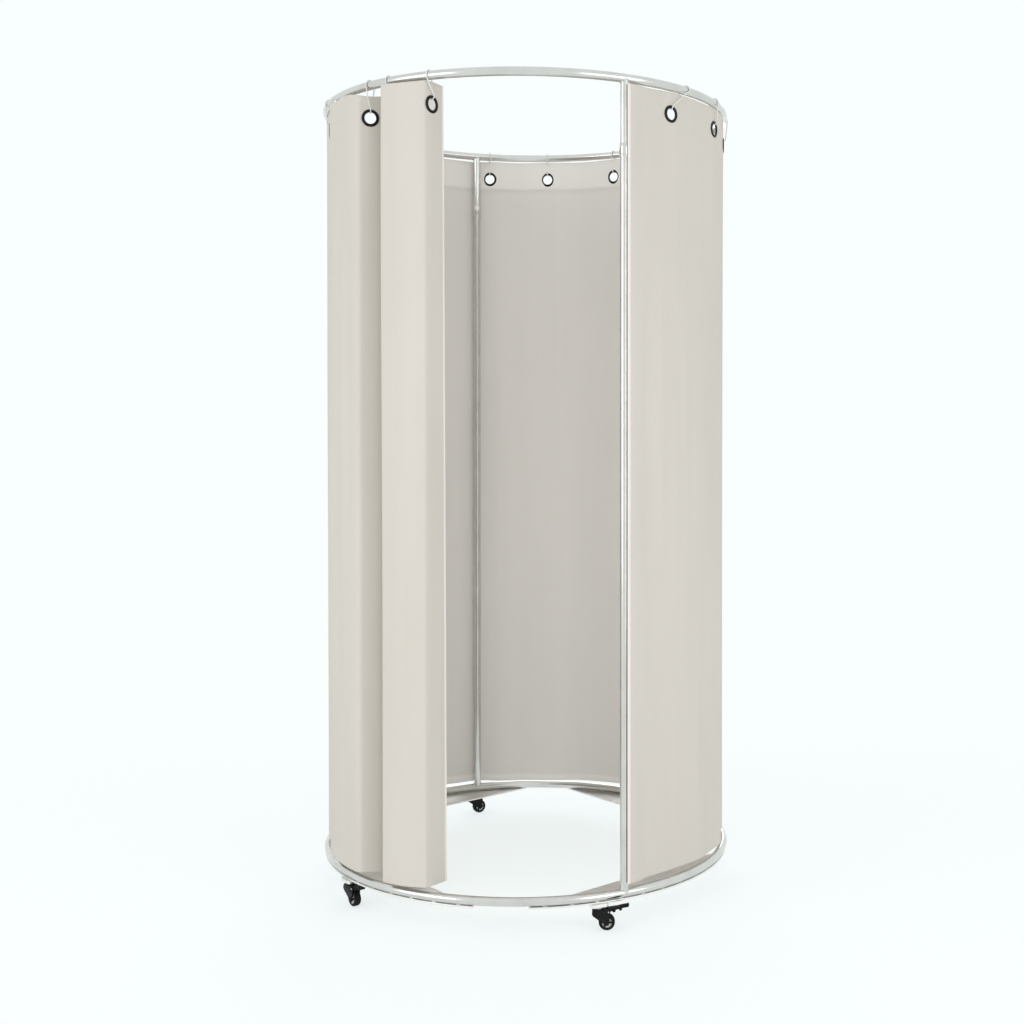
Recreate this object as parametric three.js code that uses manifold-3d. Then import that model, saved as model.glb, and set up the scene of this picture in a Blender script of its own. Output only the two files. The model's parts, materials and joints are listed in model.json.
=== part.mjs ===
// A round portable fitting room: two ring tubes, four posts, four corner plates on casters, and a
// curtain on wire hooks, with its doorway part drawn back in folds.
// Millimetres, +Z up. The origin is on the floor, under the middle of the rings. The doorway looks
// along -Y. Places round the rings are degrees from the middle of the doorway, towards +X.

import * as THREE from 'three';
import { mergeVertices } from 'three/addons/utils/BufferGeometryUtils.js';
import Module from 'manifold-3d';

const wasm = await Module();
wasm.setup();

// Driving dimensions of the whole object
const overall_height = 1990;
const ring_d = 1040;
const tube_d = 21.3;
const fit_gap = 0.3;
const cut_overrun = 20;

// Places round the rings, in degrees
const front_post_deg = 45;
const rear_post_deg = 36;
const caster_deg = 37.6;
const plate_turn_deg = 12.5;
const arc_step_deg = 4.5;

// Post joints: the top length of each post carries a collar that the lower length stands in
const joint_drop = 157;
const collar_d = 24.6;
const collar_h = 26;
const collar_rise = 6;

// Corner plates, and the pads under them that the casters hang from
const plate_t = 3.6;
const plate_reach = 8;
const plate_chord_inset = 107;
const caster_inset = 2;
const pad = { length: 30, width: 42, thickness: 7.4, corner: 5 };

// One caster, measured from the floor and from its swivel line
const wheel = { diameter: 38, width: 17, hub_d: 10, rim_d: 24, dish: 2.6, chamfer: 2.4 };
const axle = { diameter: 6, head_d: 9.4, head_h: 1.6 };
const race = { diameter: 25, height: 4.5 };
const fork = {
    top: 50.4,
    trail: 20,
    crown_t: 3,
    crown_d: 29,
    bridge_end: 17,
    lobe_x: -5,
    lobe_r: 9.5,
    lobe_to_deg: 228,
    side_gap: 0.6,
    cheek_t: 2.4,
    eye_d: 13,
    eye_from_deg: 215,
    eye_to_deg: 320,
    pivot_d: 9,
    pivot_from_deg: -35,
    pivot_to_deg: 95,
};
const cam_half_turn = Math.PI / 5;
const pedal = {
    pivot_x: 24,
    pivot_z: 44.2,
    pin_d: 3.6,
    hub_d: 7,
    cam_reach: 6.1,
    arm_t: 3,
    heel_x: 22,
    heel_z: 50.6,
    reach: 71,
    tip_z: 59.2,
    knee_x: 46,
    knee_z: 54.2,
    bead_d: 7.6,
    beads: [[36.7, 46.4], [51.7, 50.6]],
    pad_w: 20,
    press_deg: 15,
};

// Curtain
const cloth_t = 3;
const cloth_top_gap = 5;
const cloth_bottom_gap = 13;
const ripple = 2;
const post_clearance = 0.5;
const post_bump_deg = 9;
const fold_out = 26;
const fold_in = 172;
const eyelet = { outer_d: 42, hole_d: 29, thickness: 5, drop: 49 };

// Wire hooks
const wire_d = 3;
const hook_foot_half = 7;
const hook_clear = 0.9;
const leg_shares = [0.25, 0.6];
const crown_turns = [180, 160, 140, 120, 100, 80, 60, 40, 20, 0];
const foot_turns = [0, -45, -90, -135, -180];

// Degrees of the fixed curtain's hooks
const hook_degs = [60.5, 83.2, 106, 127.5, 151, 169.3, 192.3, 211.5, 236, 260.5, 285, 307];

// Which way each caster trails, in degrees from +X, as it was left standing
const caster_spots = [
    { name: 'front_right', deg: caster_deg, trail_deg: 16 },
    { name: 'rear_right', deg: 180 - caster_deg, trail_deg: 70 },
    { name: 'rear_left', deg: 180 + caster_deg, trail_deg: 46 },
    { name: 'front_left', deg: 360 - caster_deg, trail_deg: -33 },
];

const post_spots = [
    { name: 'front_right', deg: front_post_deg },
    { name: 'rear_right', deg: 180 - rear_post_deg },
    { name: 'rear_left', deg: 180 + rear_post_deg },
    { name: 'front_left', deg: 360 - front_post_deg },
];

// The doorway cloth seen from above, from the front left post to the leading edge, piece by piece.
// Each row is the place in degrees and how far the cloth stands off the ring's line: a share of
// fold_out where it bulges outwards, and of fold_in where it is tucked inwards.
const door_folds = [
    {
        name: 'curtain_round',
        shares: [
            [-40.5, 0.62],
            [-36, 0.86],
            [-32, 0.98],
            [-29.4, 0.98],
            [-28.2, 0.86],
            [-27.5, 0.5],
            [-26.6, 0],
            [-25, -0.14],
            [-22.6, -0.4],
            [-20.8, -0.72],
            [-20, -0.92],
            [-19.2, -1],
        ],
    },
    {
        name: 'door_fold_inner',
        shares: [
            [-18.3, -0.94],
            [-17.9, -0.7],
            [-18.2, -0.4],
            [-18.8, -0.14],
            [-19.2, 0],
            [-19.7, 0.5],
            [-19.8, 0.84],
            [-19.2, 1.02],
            [-18.2, 1.04],
        ],
    },
    {
        name: 'door_fold_front',
        shares: [
            [-16.4, 0.99],
            [-14.6, 0.93],
            [-12.8, 0.82],
        ],
    },
    {
        name: 'door_fold_crest',
        shares: [
            [-11, 0.68],
            [-9, 0.54],
            [-7.9, 0.48],
        ],
    },
    {
        name: 'door_fold_lead',
        shares: [
            [-7.2, 0.4],
            [-6.8, 0.16],
            [-6.2, -0.045],
            [-5.3, -0.17],
            [-4.4, -0.29],
        ],
    },
];

// Hooks on the doorway cloth: the piece of cloth, the row of the tables above that the eyelet is
// on, counted through all of them, and the hook's own place on the ring.
const door_hooks = [
    { name: 'held', fold: 'curtain_round', point: 6, deg: -26.6 },
    { name: 'inner', fold: 'door_fold_inner', point: 16, deg: -19.2 },
    { name: 'lead', fold: 'door_fold_lead', point: 29, deg: -6.6 },
];

// Sizes and heights that follow from the ones above
const tube_r = tube_d / 2;
const ring_r = ring_d / 2;
const wheel_r = wheel.diameter / 2;
const wire_r = wire_d / 2;
const top_ring_z = overall_height - tube_r;
const race_bottom_z = fork.top + fit_gap;
const pad_bottom_z = race_bottom_z + race.height;
const plate_bottom_z = pad_bottom_z + pad.thickness + fit_gap;
const base_ring_z = plate_bottom_z + plate_t + fit_gap + tube_r;
const joint_z = top_ring_z - joint_drop;
const cloth_top_z = top_ring_z - tube_r - cloth_top_gap;
const cloth_bottom_z = base_ring_z + tube_r + cloth_bottom_gap;
const eyelet_z = cloth_top_z - eyelet.drop;
const cloth_pass_r = ring_r + collar_d / 2 + post_clearance + cloth_t / 2;
const arc_sag = ring_r * (1 - Math.cos(THREE.MathUtils.degToRad(arc_step_deg / 2)));
const cheek_y = wheel.width / 2 + fork.side_gap;
const fork_w = 2 * (cheek_y + fork.cheek_t);

// Facets of the round shapes
const tube_sides = 12;
const round_sides = 14;
const bore_sides = 8;
const wire_sides = 6;
const rim_sides = 10;
const corner_facets = 3;
const bow_facets = 18;

const steel = { color: 0xc9c8c4, roughness: 0.18, metalness: 1 };
const black = { color: 0x161616, roughness: 0.5, metalness: 0 };
const white = { color: 0xe9e8e4, roughness: 0.35, metalness: 0 };
const cloth = { color: 0xd8d4cb, roughness: 0.9, metalness: 0 };
const rubber = { color: 0x1b1b1b, roughness: 0.7, metalness: 0 };

const model = new THREE.Group();

const rad = THREE.MathUtils.degToRad;

/** A point at a place round the rings. */
function place(deg, r, z = 0) {
    return new THREE.Vector3(r * Math.sin(rad(deg)), -r * Math.cos(rad(deg)), z);
}

/** The turn about Z that points +X outwards at a place round the rings. */
function outward(deg) {
    return rad(deg) - Math.PI / 2;
}

/** Adds a named mesh with its own material to a group. */
function add(parent, name, geometry, finish) {
    const mesh = new THREE.Mesh(geometry, new THREE.MeshStandardMaterial(finish));
    mesh.name = name;
    parent.add(mesh);
    return mesh;
}

/** The solid of a closed geometry, for cutting and joining. */
function solid(geometry) {
    const bare = geometry.clone();
    bare.deleteAttribute('normal');
    bare.deleteAttribute('uv');
    const merged = mergeVertices(bare);
    return new wasm.Manifold(new wasm.Mesh({
        numProp: 3,
        vertProperties: Float32Array.from(merged.attributes.position.array),
        triVerts: Uint32Array.from(merged.index.array),
    }));
}

/** The geometry of a solid. */
function shell(body) {
    const mesh = body.getMesh();
    const geometry = new THREE.BufferGeometry();
    geometry.setAttribute('position', new THREE.BufferAttribute(Float32Array.from(mesh.vertProperties), 3));
    geometry.setIndex(new THREE.BufferAttribute(Uint32Array.from(mesh.triVerts), 1));
    geometry.computeVertexNormals();
    return geometry;
}

/** Joins geometries, then cuts others out of the result. */
function fused(joined, cuts = []) {
    let body = solid(joined[0]);
    for (const piece of joined.slice(1)) {
        body = body.add(solid(piece));
    }
    for (const piece of cuts) {
        body = body.subtract(solid(piece));
    }
    return shell(body);
}

/** A round section with a corner at each quarter. */
function roundSection(radius, sides) {
    const points = [];
    for (let i = 0; i < sides; i += 1) {
        const turn = (2 * Math.PI * i) / sides;
        points.push(new THREE.Vector2(radius * Math.cos(turn), radius * Math.sin(turn)));
    }
    return new THREE.Shape(points);
}

/** A stretch of a level circle round the middle of the object. */
class RingArc extends THREE.Curve {
    constructor(r, z, from_deg, to_deg) {
        super();
        this.r = r;
        this.z = z;
        this.from_deg = from_deg;
        this.to_deg = to_deg;
    }

    getPoint(share, target = new THREE.Vector3()) {
        return target.copy(place(this.from_deg + (this.to_deg - this.from_deg) * share, this.r, this.z));
    }
}

/** A smooth wire through given points, with one step from each point to the next. */
class Wire extends THREE.CatmullRomCurve3 {
    constructor(points) {
        super(points, false, 'centripetal');
    }

    getPointAt(share, target) {
        return this.getPoint(share, target);
    }

    getTangentAt(share, target) {
        return this.getTangent(share, target);
    }
}

/** A round bar along a curve. */
function bar(curve, radius, sides, steps) {
    return new THREE.ExtrudeGeometry(roundSection(radius, sides), {
        extrudePath: curve,
        steps,
        bevelEnabled: false,
    });
}

/** An upright cylinder between two heights. */
function upright(radius, from_z, to_z, sides) {
    const geometry = new THREE.CylinderGeometry(radius, radius, to_z - from_z, sides);
    geometry.rotateX(Math.PI / 2);
    geometry.translate(0, 0, (from_z + to_z) / 2);
    return geometry;
}

/** A cylinder lying along Y, centred at a point of the side view. */
function crosswise(radius, width, x, z, sides) {
    const geometry = new THREE.CylinderGeometry(radius, radius, width, sides);
    geometry.translate(x, 0, z);
    return geometry;
}

/** A side-view outline given width along Y, centred on y. */
function slab(outline, width, y = 0) {
    const geometry = new THREE.ExtrudeGeometry(outline, {
        depth: width,
        bevelEnabled: false,
        curveSegments: corner_facets,
    });
    geometry.rotateX(Math.PI / 2);
    geometry.translate(0, y + width / 2, 0);
    return geometry;
}

/** A plan outline given a thickness upwards from a height. */
function sheet(outline, from_z, thickness, arc_facets) {
    const geometry = new THREE.ExtrudeGeometry(outline, {
        depth: thickness,
        bevelEnabled: false,
        curveSegments: arc_facets,
    });
    geometry.translate(0, 0, from_z);
    return geometry;
}

/** The four tubes of one ring, from post to post. */
function addRing(prefix, z) {
    const half_gap_deg = THREE.MathUtils.radToDeg(fit_gap / 2 / ring_r);
    const sides = ['front', 'right', 'rear', 'left'];
    const degs = [-front_post_deg, ...post_spots.map((spot) => spot.deg)];
    sides.forEach((side, i) => {
        const steps = 2 * Math.round((degs[i + 1] - degs[i]) / arc_step_deg / 2);
        const arc = new RingArc(ring_r, z, degs[i] + half_gap_deg, degs[i + 1] - half_gap_deg);
        add(model, `${prefix}_${side}`, bar(arc, tube_r, tube_sides, steps), steel);
    });
}

/** The space that a ring takes, with its clearance, around one place. */
function ringCutter(deg, z) {
    const reach_deg = THREE.MathUtils.radToDeg(2 * tube_d / ring_r);
    const arc = new RingArc(ring_r, z, deg - reach_deg, deg + reach_deg);
    return bar(arc, tube_r + fit_gap, tube_sides, 2);
}

/** One post: a long lower tube and a short top tube with the joint collar. */
function addPost(spot) {
    const spot_point = place(spot.deg, ring_r);
    const lower = upright(tube_r, base_ring_z, joint_z - fit_gap, tube_sides);
    const upper = upright(tube_r, joint_z, top_ring_z, tube_sides);
    const collar = upright(collar_d / 2, joint_z - collar_h, joint_z + collar_rise, tube_sides);
    const socket = upright(tube_r + fit_gap, joint_z - collar_h - cut_overrun, joint_z, tube_sides);
    for (const piece of [lower, upper, collar, socket]) {
        piece.translate(spot_point.x, spot_point.y, 0);
    }
    add(model, `post_${spot.name}`, fused([lower], [ringCutter(spot.deg, base_ring_z)]), steel);
    const top_cuts = [socket, ringCutter(spot.deg, top_ring_z)];
    add(model, `post_top_${spot.name}`, fused([upper, collar], top_cuts), steel);
}

/** A bow-shaped corner plate: the ring's curve outside and a straight chord inside. */
function addCornerPlate(spot, i) {
    const outer_r = ring_r + plate_reach;
    const chord_x = ring_r - plate_chord_inset;
    const half_angle = Math.acos(chord_x / outer_r);
    const outline = new THREE.Shape();
    outline.absarc(0, 0, outer_r, -half_angle, half_angle, false);
    outline.closePath();
    const plate = sheet(outline, plate_bottom_z, plate_t, bow_facets);
    const mesh = add(model, `corner_plate_${spot.name}`, plate, steel);
    mesh.rotation.z = outward(front_post_deg + plate_turn_deg + 90 * i);
}

/** The pad under a corner plate, with the caster's ball race under it. */
function addCasterMount(spot) {
    const half_l = pad.length / 2;
    const half_w = pad.width / 2;
    const outline = new THREE.Shape();
    outline.absarc(half_l - pad.corner, half_w - pad.corner, pad.corner, 0, Math.PI / 2, false);
    outline.absarc(pad.corner - half_l, half_w - pad.corner, pad.corner, Math.PI / 2, Math.PI, false);
    outline.absarc(pad.corner - half_l, pad.corner - half_w, pad.corner, Math.PI, 1.5 * Math.PI, false);
    outline.absarc(half_l - pad.corner, pad.corner - half_w, pad.corner, 1.5 * Math.PI, 2 * Math.PI, false);
    outline.closePath();
    const block = sheet(outline, pad_bottom_z, pad.thickness, corner_facets);
    const seat = upright(race.diameter / 2, race_bottom_z, pad_bottom_z + pad.thickness / 2, round_sides);
    const mesh = add(model, `caster_mount_${spot.name}`, fused([block, seat]), steel);
    mesh.position.copy(place(spot.deg, ring_r - caster_inset));
    mesh.rotation.z = outward(spot.deg);
}

/** The corner radius of a faceted bore whose flats clear a pin by the fit gap. */
function boreRadius(pin_d) {
    return (pin_d / 2 + fit_gap) / Math.cos(Math.PI / bore_sides);
}

/** One cheek's outline, from the crown to the axle eye and the pedal pivot. */
function cheekOutline() {
    const eye_r = fork.eye_d / 2;
    const pivot_r = fork.pivot_d / 2;
    const outline = new THREE.Shape();
    const { lobe_x, lobe_r } = fork;
    outline.absarc(lobe_x, fork.top - lobe_r, lobe_r, Math.PI / 2, rad(fork.lobe_to_deg), false);
    outline.absarc(fork.trail, wheel_r, eye_r, rad(fork.eye_from_deg), rad(fork.eye_to_deg), false);
    const { pivot_x, pivot_z } = pedal;
    outline.absarc(pivot_x, pivot_z, pivot_r, rad(fork.pivot_from_deg), rad(fork.pivot_to_deg), false);
    outline.lineTo(fork.trail, fork.top);
    outline.closePath();
    return outline;
}

/** The swivelling fork: crown, two cheeks, axle holes and pedal pivot holes. */
function forkGeometry() {
    const crown = upright(fork.crown_d / 2, fork.top - fork.crown_t, fork.top, round_sides);
    const bridge_l = fork.bridge_end - fork.lobe_x;
    const bridge = new THREE.BoxGeometry(bridge_l, fork_w, fork.crown_t);
    bridge.translate(fork.bridge_end - bridge_l / 2, 0, fork.top - fork.crown_t / 2);
    const cheek_mid = cheek_y + fork.cheek_t / 2;
    const left = slab(cheekOutline(), fork.cheek_t, cheek_mid);
    const right = slab(cheekOutline(), fork.cheek_t, -cheek_mid);
    const through = fork_w + cut_overrun;
    return fused([bridge, crown, left, right], [
        crosswise(boreRadius(axle.diameter), through, fork.trail, wheel_r, bore_sides),
        crosswise(boreRadius(pedal.pin_d), through, pedal.pivot_x, pedal.pivot_z, bore_sides),
    ]);
}

/** The wheel: a chamfered tyre on a dished disc with a bored hub. */
function wheelGeometry() {
    const half_w = wheel.width / 2;
    const bore_r = (axle.diameter / 2 + fit_gap) / Math.cos(Math.PI / round_sides);
    const dish_y = half_w - wheel.dish;
    const half = [
        [bore_r, half_w],
        [wheel.hub_d / 2, half_w],
        [wheel.hub_d / 2, dish_y],
        [wheel.rim_d / 2, dish_y],
        [wheel.rim_d / 2, half_w],
        [wheel_r - wheel.chamfer, half_w],
        [wheel_r, half_w - wheel.chamfer],
    ];
    const profile = [
        ...half.map(([r, y]) => new THREE.Vector2(r, -y)),
        ...half.reverse().map(([r, y]) => new THREE.Vector2(r, y)),
    ];
    profile.push(profile[0].clone());
    return new THREE.LatheGeometry(profile, round_sides);
}

/** The axle pin, with a flat rivet head outside each cheek. */
function axleGeometry() {
    const head_y = fork_w / 2 + fit_gap;
    const end_y = head_y + axle.head_h;
    const half = [
        [0, end_y],
        [axle.head_d / 2, end_y],
        [axle.head_d / 2, head_y],
        [axle.diameter / 2, head_y],
    ];
    const profile = [
        ...half.map(([r, y]) => new THREE.Vector2(r, -y)),
        ...half.reverse().map(([r, y]) => new THREE.Vector2(r, y)),
    ];
    return new THREE.LatheGeometry(profile, bore_sides);
}

/** The brake pedal: pivot pin, cam above the tyre, and a long arm with two beads and a wider pad. */
function pedalGeometry() {
    const { pivot_x, pivot_z, arm_t, knee_x, knee_z, reach, tip_z } = pedal;
    const hub_r = pedal.hub_d / 2;
    const arm = new THREE.Shape();
    arm.moveTo(pivot_x, pivot_z);
    arm.lineTo(pivot_x + hub_r, pivot_z);
    arm.lineTo(knee_x + arm_t, knee_z - arm_t);
    arm.lineTo(reach, tip_z - arm_t);
    arm.lineTo(reach, tip_z);
    arm.lineTo(knee_x, knee_z);
    arm.lineTo(pedal.heel_x, pedal.heel_z);
    arm.closePath();
    const tread = new THREE.Shape();
    tread.moveTo(knee_x + arm_t, knee_z - arm_t);
    tread.lineTo(reach, tip_z - arm_t);
    tread.lineTo(reach, tip_z);
    tread.lineTo(knee_x + arm_t, knee_z + ((tip_z - knee_z) * arm_t) / (reach - knee_x));
    tread.closePath();
    const tyre_turn = Math.atan2(wheel_r - pivot_z, fork.trail - pivot_x);
    const cam_turn = tyre_turn + rad(pedal.press_deg);
    const cam = new THREE.Shape();
    cam.moveTo(pivot_x, pivot_z);
    for (const [off, reach_r] of [[-cam_half_turn, hub_r], [0, pedal.cam_reach], [cam_half_turn, hub_r]]) {
        const turn = cam_turn + off;
        cam.lineTo(pivot_x + reach_r * Math.cos(turn), pivot_z + reach_r * Math.sin(turn));
    }
    cam.closePath();
    const inner_w = 2 * (cheek_y - fit_gap);
    return fused([
        crosswise(hub_r, inner_w, pivot_x, pivot_z, bore_sides),
        crosswise(pedal.pin_d / 2, fork_w, pivot_x, pivot_z, bore_sides),
        slab(arm, inner_w),
        ...pedal.beads.map(([x, z]) => crosswise(pedal.bead_d / 2, inner_w, x, z, bore_sides)),
        slab(tread, pedal.pad_w),
        slab(cam, inner_w),
    ]);
}

/** One caster below its mount, turned the way it was left standing. */
function addCaster(spot) {
    const group = new THREE.Group();
    group.position.copy(place(spot.deg, ring_r - caster_inset));
    group.rotation.z = rad(spot.trail_deg);
    model.add(group);
    add(group, `caster_fork_${spot.name}`, forkGeometry(), black);
    const tyre = add(group, `caster_wheel_${spot.name}`, wheelGeometry(), rubber);
    const pin = add(group, `caster_axle_${spot.name}`, axleGeometry(), steel);
    for (const mesh of [tyre, pin]) {
        mesh.position.set(fork.trail, 0, wheel_r);
    }
    add(group, `caster_pedal_${spot.name}`, pedalGeometry(), black);
}

/** How far from the middle the fixed curtain hangs at a place: rippled, and out round each post. */
function clothRadius(deg) {
    const hung = ring_r + ripple * Math.cos(rad(deg * 16));
    let r = hung;
    for (const spot of post_spots) {
        const off = Math.abs(deg - spot.deg);
        if (off < post_bump_deg) {
            const share = (1 + Math.cos((Math.PI * off) / post_bump_deg)) / 2;
            r = hung + (cloth_pass_r - hung) * share;
        }
    }
    return r;
}

/** Plan points of a table of folds. */
function foldPoints(shares) {
    return shares.map(([deg, share]) => {
        const r = ring_r + share * (share > 0 ? fold_out : fold_in);
        const point = place(deg, r);
        return new THREE.Vector2(point.x, point.y);
    });
}

/** The unit normal of a line at one of its points, to the right of its run. */
function normalAt(line, i) {
    const before = line[Math.max(0, i - 1)];
    const after = line[Math.min(line.length - 1, i + 1)];
    const run = after.clone().sub(before).normalize();
    return new THREE.Vector2(run.y, -run.x);
}

/** Hanging cloth along a stretch of the plan line, its ends square to the line and drawn back. */
function hangingCloth(line, from, to, start_back, end_back) {
    const sides = [-1, 1].map((side) => line.slice(from, to + 1).map((point, i) => {
        const normal = normalAt(line, from + i);
        return point.clone().addScaledVector(normal, (side * cloth_t) / 2);
    }));
    for (const side of sides) {
        const last = side.length - 1;
        side[0].add(side[1].clone().sub(side[0]).setLength(start_back));
        side[last].add(side[last - 1].clone().sub(side[last]).setLength(end_back));
    }
    const outline = new THREE.Shape([...sides[1], ...sides[0].reverse()]);
    return sheet(outline, cloth_bottom_z, cloth_top_z - cloth_bottom_z, 1);
}

/** A disc or bore across the cloth at an eyelet, along the cloth's normal there. */
function acrossCloth(spot, radius, length) {
    const geometry = new THREE.CylinderGeometry(radius, radius, length, rim_sides);
    geometry.rotateZ(Math.PI / 2);
    geometry.rotateZ(Math.atan2(spot.normal.y, spot.normal.x));
    geometry.translate(spot.point.x, spot.point.y, eyelet_z);
    return geometry;
}

/** Cloth with its eyelets: a raised rim round each hole. */
function clothWithEyelets(hung, spots) {
    const rims = spots.map((spot) => acrossCloth(spot, eyelet.outer_d / 2, eyelet.thickness));
    const holes = spots.map((spot) => acrossCloth(spot, eyelet.hole_d / 2, eyelet.thickness + cut_overrun));
    return fused([hung, ...rims], holes);
}

/** Where an eyelet sits on the fixed curtain. */
function eyeletAt(deg) {
    const point = place(deg, clothRadius(deg));
    const normal = place(deg, 1);
    return {
        deg,
        point: new THREE.Vector2(point.x, point.y),
        normal: new THREE.Vector2(normal.x, normal.y),
    };
}

/** Where an eyelet sits on the folds, at a point of the plan line, for a hook at a place on the ring. */
function eyeletOnFold(line, i, deg) {
    const normal = normalAt(line, i);
    const out = place(deg, 1);
    if (normal.x * out.x + normal.y * out.y < 0) {
        normal.negate();
    }
    return { deg, point: line[i], normal };
}

/** A wire hook: over the ring's tube, down both sides of the cloth and through the eyelet. */
function addHook(name, spot) {
    const over_r = tube_r + wire_r + hook_clear;
    const crown_point = place(spot.deg, ring_r - arc_sag / 2, top_ring_z);
    const crown_out = place(spot.deg, 1);
    const foot_out = new THREE.Vector3(spot.normal.x, spot.normal.y, 0);
    const hole_r = (eyelet.hole_d / 2) * Math.cos(Math.PI / rim_sides);
    const rim_rise = hook_foot_half - Math.sqrt(hook_foot_half ** 2 - (eyelet.thickness / 2) ** 2);
    const foot_z = eyelet_z + hole_r - wire_r - hook_clear - rim_rise;
    const foot_point = new THREE.Vector3(spot.point.x, spot.point.y, foot_z + hook_foot_half);
    const points = [];
    const addLeg = (side, shares) => {
        for (const share of shares) {
            const out = crown_out.clone().lerp(foot_out, share * share).normalize();
            const half = over_r + (hook_foot_half - over_r) * share;
            points.push(crown_point.clone().lerp(foot_point, share).addScaledVector(out, side * half));
        }
    };
    const addBend = (centre, out, radius, turns) => {
        for (const turn of turns) {
            const point = centre.clone().addScaledVector(out, radius * Math.cos(rad(turn)));
            point.z += radius * Math.sin(rad(turn));
            points.push(point);
        }
    };
    addLeg(-1, [...leg_shares].reverse());
    addBend(crown_point, crown_out, over_r, crown_turns);
    addLeg(1, leg_shares);
    addBend(foot_point, foot_out, hook_foot_half, foot_turns);
    add(model, `hook_${name}`, bar(new Wire(points), wire_r, wire_sides, points.length - 1), white);
}

addRing('top_ring', top_ring_z);
addRing('base_ring', base_ring_z);
post_spots.forEach(addPost);
post_spots.forEach(addCornerPlate);
caster_spots.forEach(addCasterMount);
caster_spots.forEach(addCaster);

const cloth_line = [];
for (let deg = front_post_deg; deg <= 360 - front_post_deg; deg += arc_step_deg) {
    const point = place(deg, clothRadius(deg));
    cloth_line.push(new THREE.Vector2(point.x, point.y));
}
const door_start = cloth_line.length;
const ends = [0];
for (const fold of door_folds) {
    cloth_line.push(...foldPoints(fold.shares));
    ends.push(cloth_line.length - 1);
}

const fixed_eyelets = hook_degs.map(eyeletAt);
const fold_eyelets = door_hooks.map((hook) => eyeletOnFold(cloth_line, door_start + hook.point, hook.deg));
door_folds.forEach((fold, i) => {
    const start_back = i === 0 ? 0 : fit_gap / 2;
    const end_back = i === door_folds.length - 1 ? 0 : fit_gap / 2;
    const hung = hangingCloth(cloth_line, ends[i], ends[i + 1], start_back, end_back);
    const held = fold_eyelets.filter((spot, k) => door_hooks[k].fold === fold.name);
    const spots = i === 0 ? [...fixed_eyelets, ...held] : held;
    add(model, fold.name, clothWithEyelets(hung, spots), cloth);
});

fixed_eyelets.forEach((spot, i) => addHook(`${String(i + 1).padStart(2, '0')}`, spot));
fold_eyelets.forEach((spot, k) => addHook(door_hooks[k].name, spot));

export default model;
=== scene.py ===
import json
import logging
import math
from dataclasses import dataclass, field
from enum import Enum

import bmesh
import bpy
import numpy as np
from mathutils import Matrix, Vector
from mathutils.geometry import tessellate_polygon

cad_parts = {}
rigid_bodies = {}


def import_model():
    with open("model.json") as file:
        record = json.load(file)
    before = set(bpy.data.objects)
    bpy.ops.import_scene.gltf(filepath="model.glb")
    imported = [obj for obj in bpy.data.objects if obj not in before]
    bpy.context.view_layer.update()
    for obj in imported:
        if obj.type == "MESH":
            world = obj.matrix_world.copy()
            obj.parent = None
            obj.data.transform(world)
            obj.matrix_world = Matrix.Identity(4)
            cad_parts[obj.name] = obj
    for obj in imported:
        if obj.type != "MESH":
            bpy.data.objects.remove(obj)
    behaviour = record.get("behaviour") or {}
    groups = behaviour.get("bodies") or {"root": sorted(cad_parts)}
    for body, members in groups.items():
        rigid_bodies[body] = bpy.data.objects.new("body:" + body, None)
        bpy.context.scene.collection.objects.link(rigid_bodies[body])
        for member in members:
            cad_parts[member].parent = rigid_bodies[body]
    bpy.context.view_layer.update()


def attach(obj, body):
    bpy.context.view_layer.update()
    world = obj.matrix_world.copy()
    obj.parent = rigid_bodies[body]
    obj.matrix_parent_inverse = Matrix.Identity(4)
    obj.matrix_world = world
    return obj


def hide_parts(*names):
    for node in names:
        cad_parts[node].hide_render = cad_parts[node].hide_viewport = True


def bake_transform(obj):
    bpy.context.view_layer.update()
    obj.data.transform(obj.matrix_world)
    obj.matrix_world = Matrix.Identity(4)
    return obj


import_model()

# The looks of a round portable fitting room. Metres, +Z up, origin on the floor under the middle
# of the rings. Places round the rings are degrees from the middle of the doorway towards +X.

log = logging.getLogger("fitting_room")

Point2 = tuple[float, float]
Point3 = tuple[float, float, float]
Point4 = tuple[float, float, float, float]
Mesh, Piece, Material = bpy.types.Mesh, bpy.types.Object, bpy.types.Material
Node, Socket = bpy.types.Node, bpy.types.NodeSocket

RING_R = 0.520
TUBE_R = 0.01065
TOP_RING_Z = 1.97935
BASE_RING_Z = 0.07745
POST_DEGS = {"front_right": 45.0, "rear_right": 144.0, "rear_left": 216.0, "front_left": 315.0}
CLOTH_TOP_Z = 1.9637
CLOTH_BOTTOM_Z = 0.1011
CLOTH_DROP = CLOTH_TOP_Z - CLOTH_BOTTOM_Z
EYELET_Z = 1.9147
MERGE = 1e-6
EVEN = (1.0, 1.0, 1.0)


def place(deg: float, r: float, z: float = 0.0) -> Vector:
    """A point at a place round the rings, a distance from the middle line and a height."""
    turn = math.radians(deg)
    return Vector((r * math.sin(turn), -r * math.cos(turn), z))


# ---- Node trees


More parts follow.
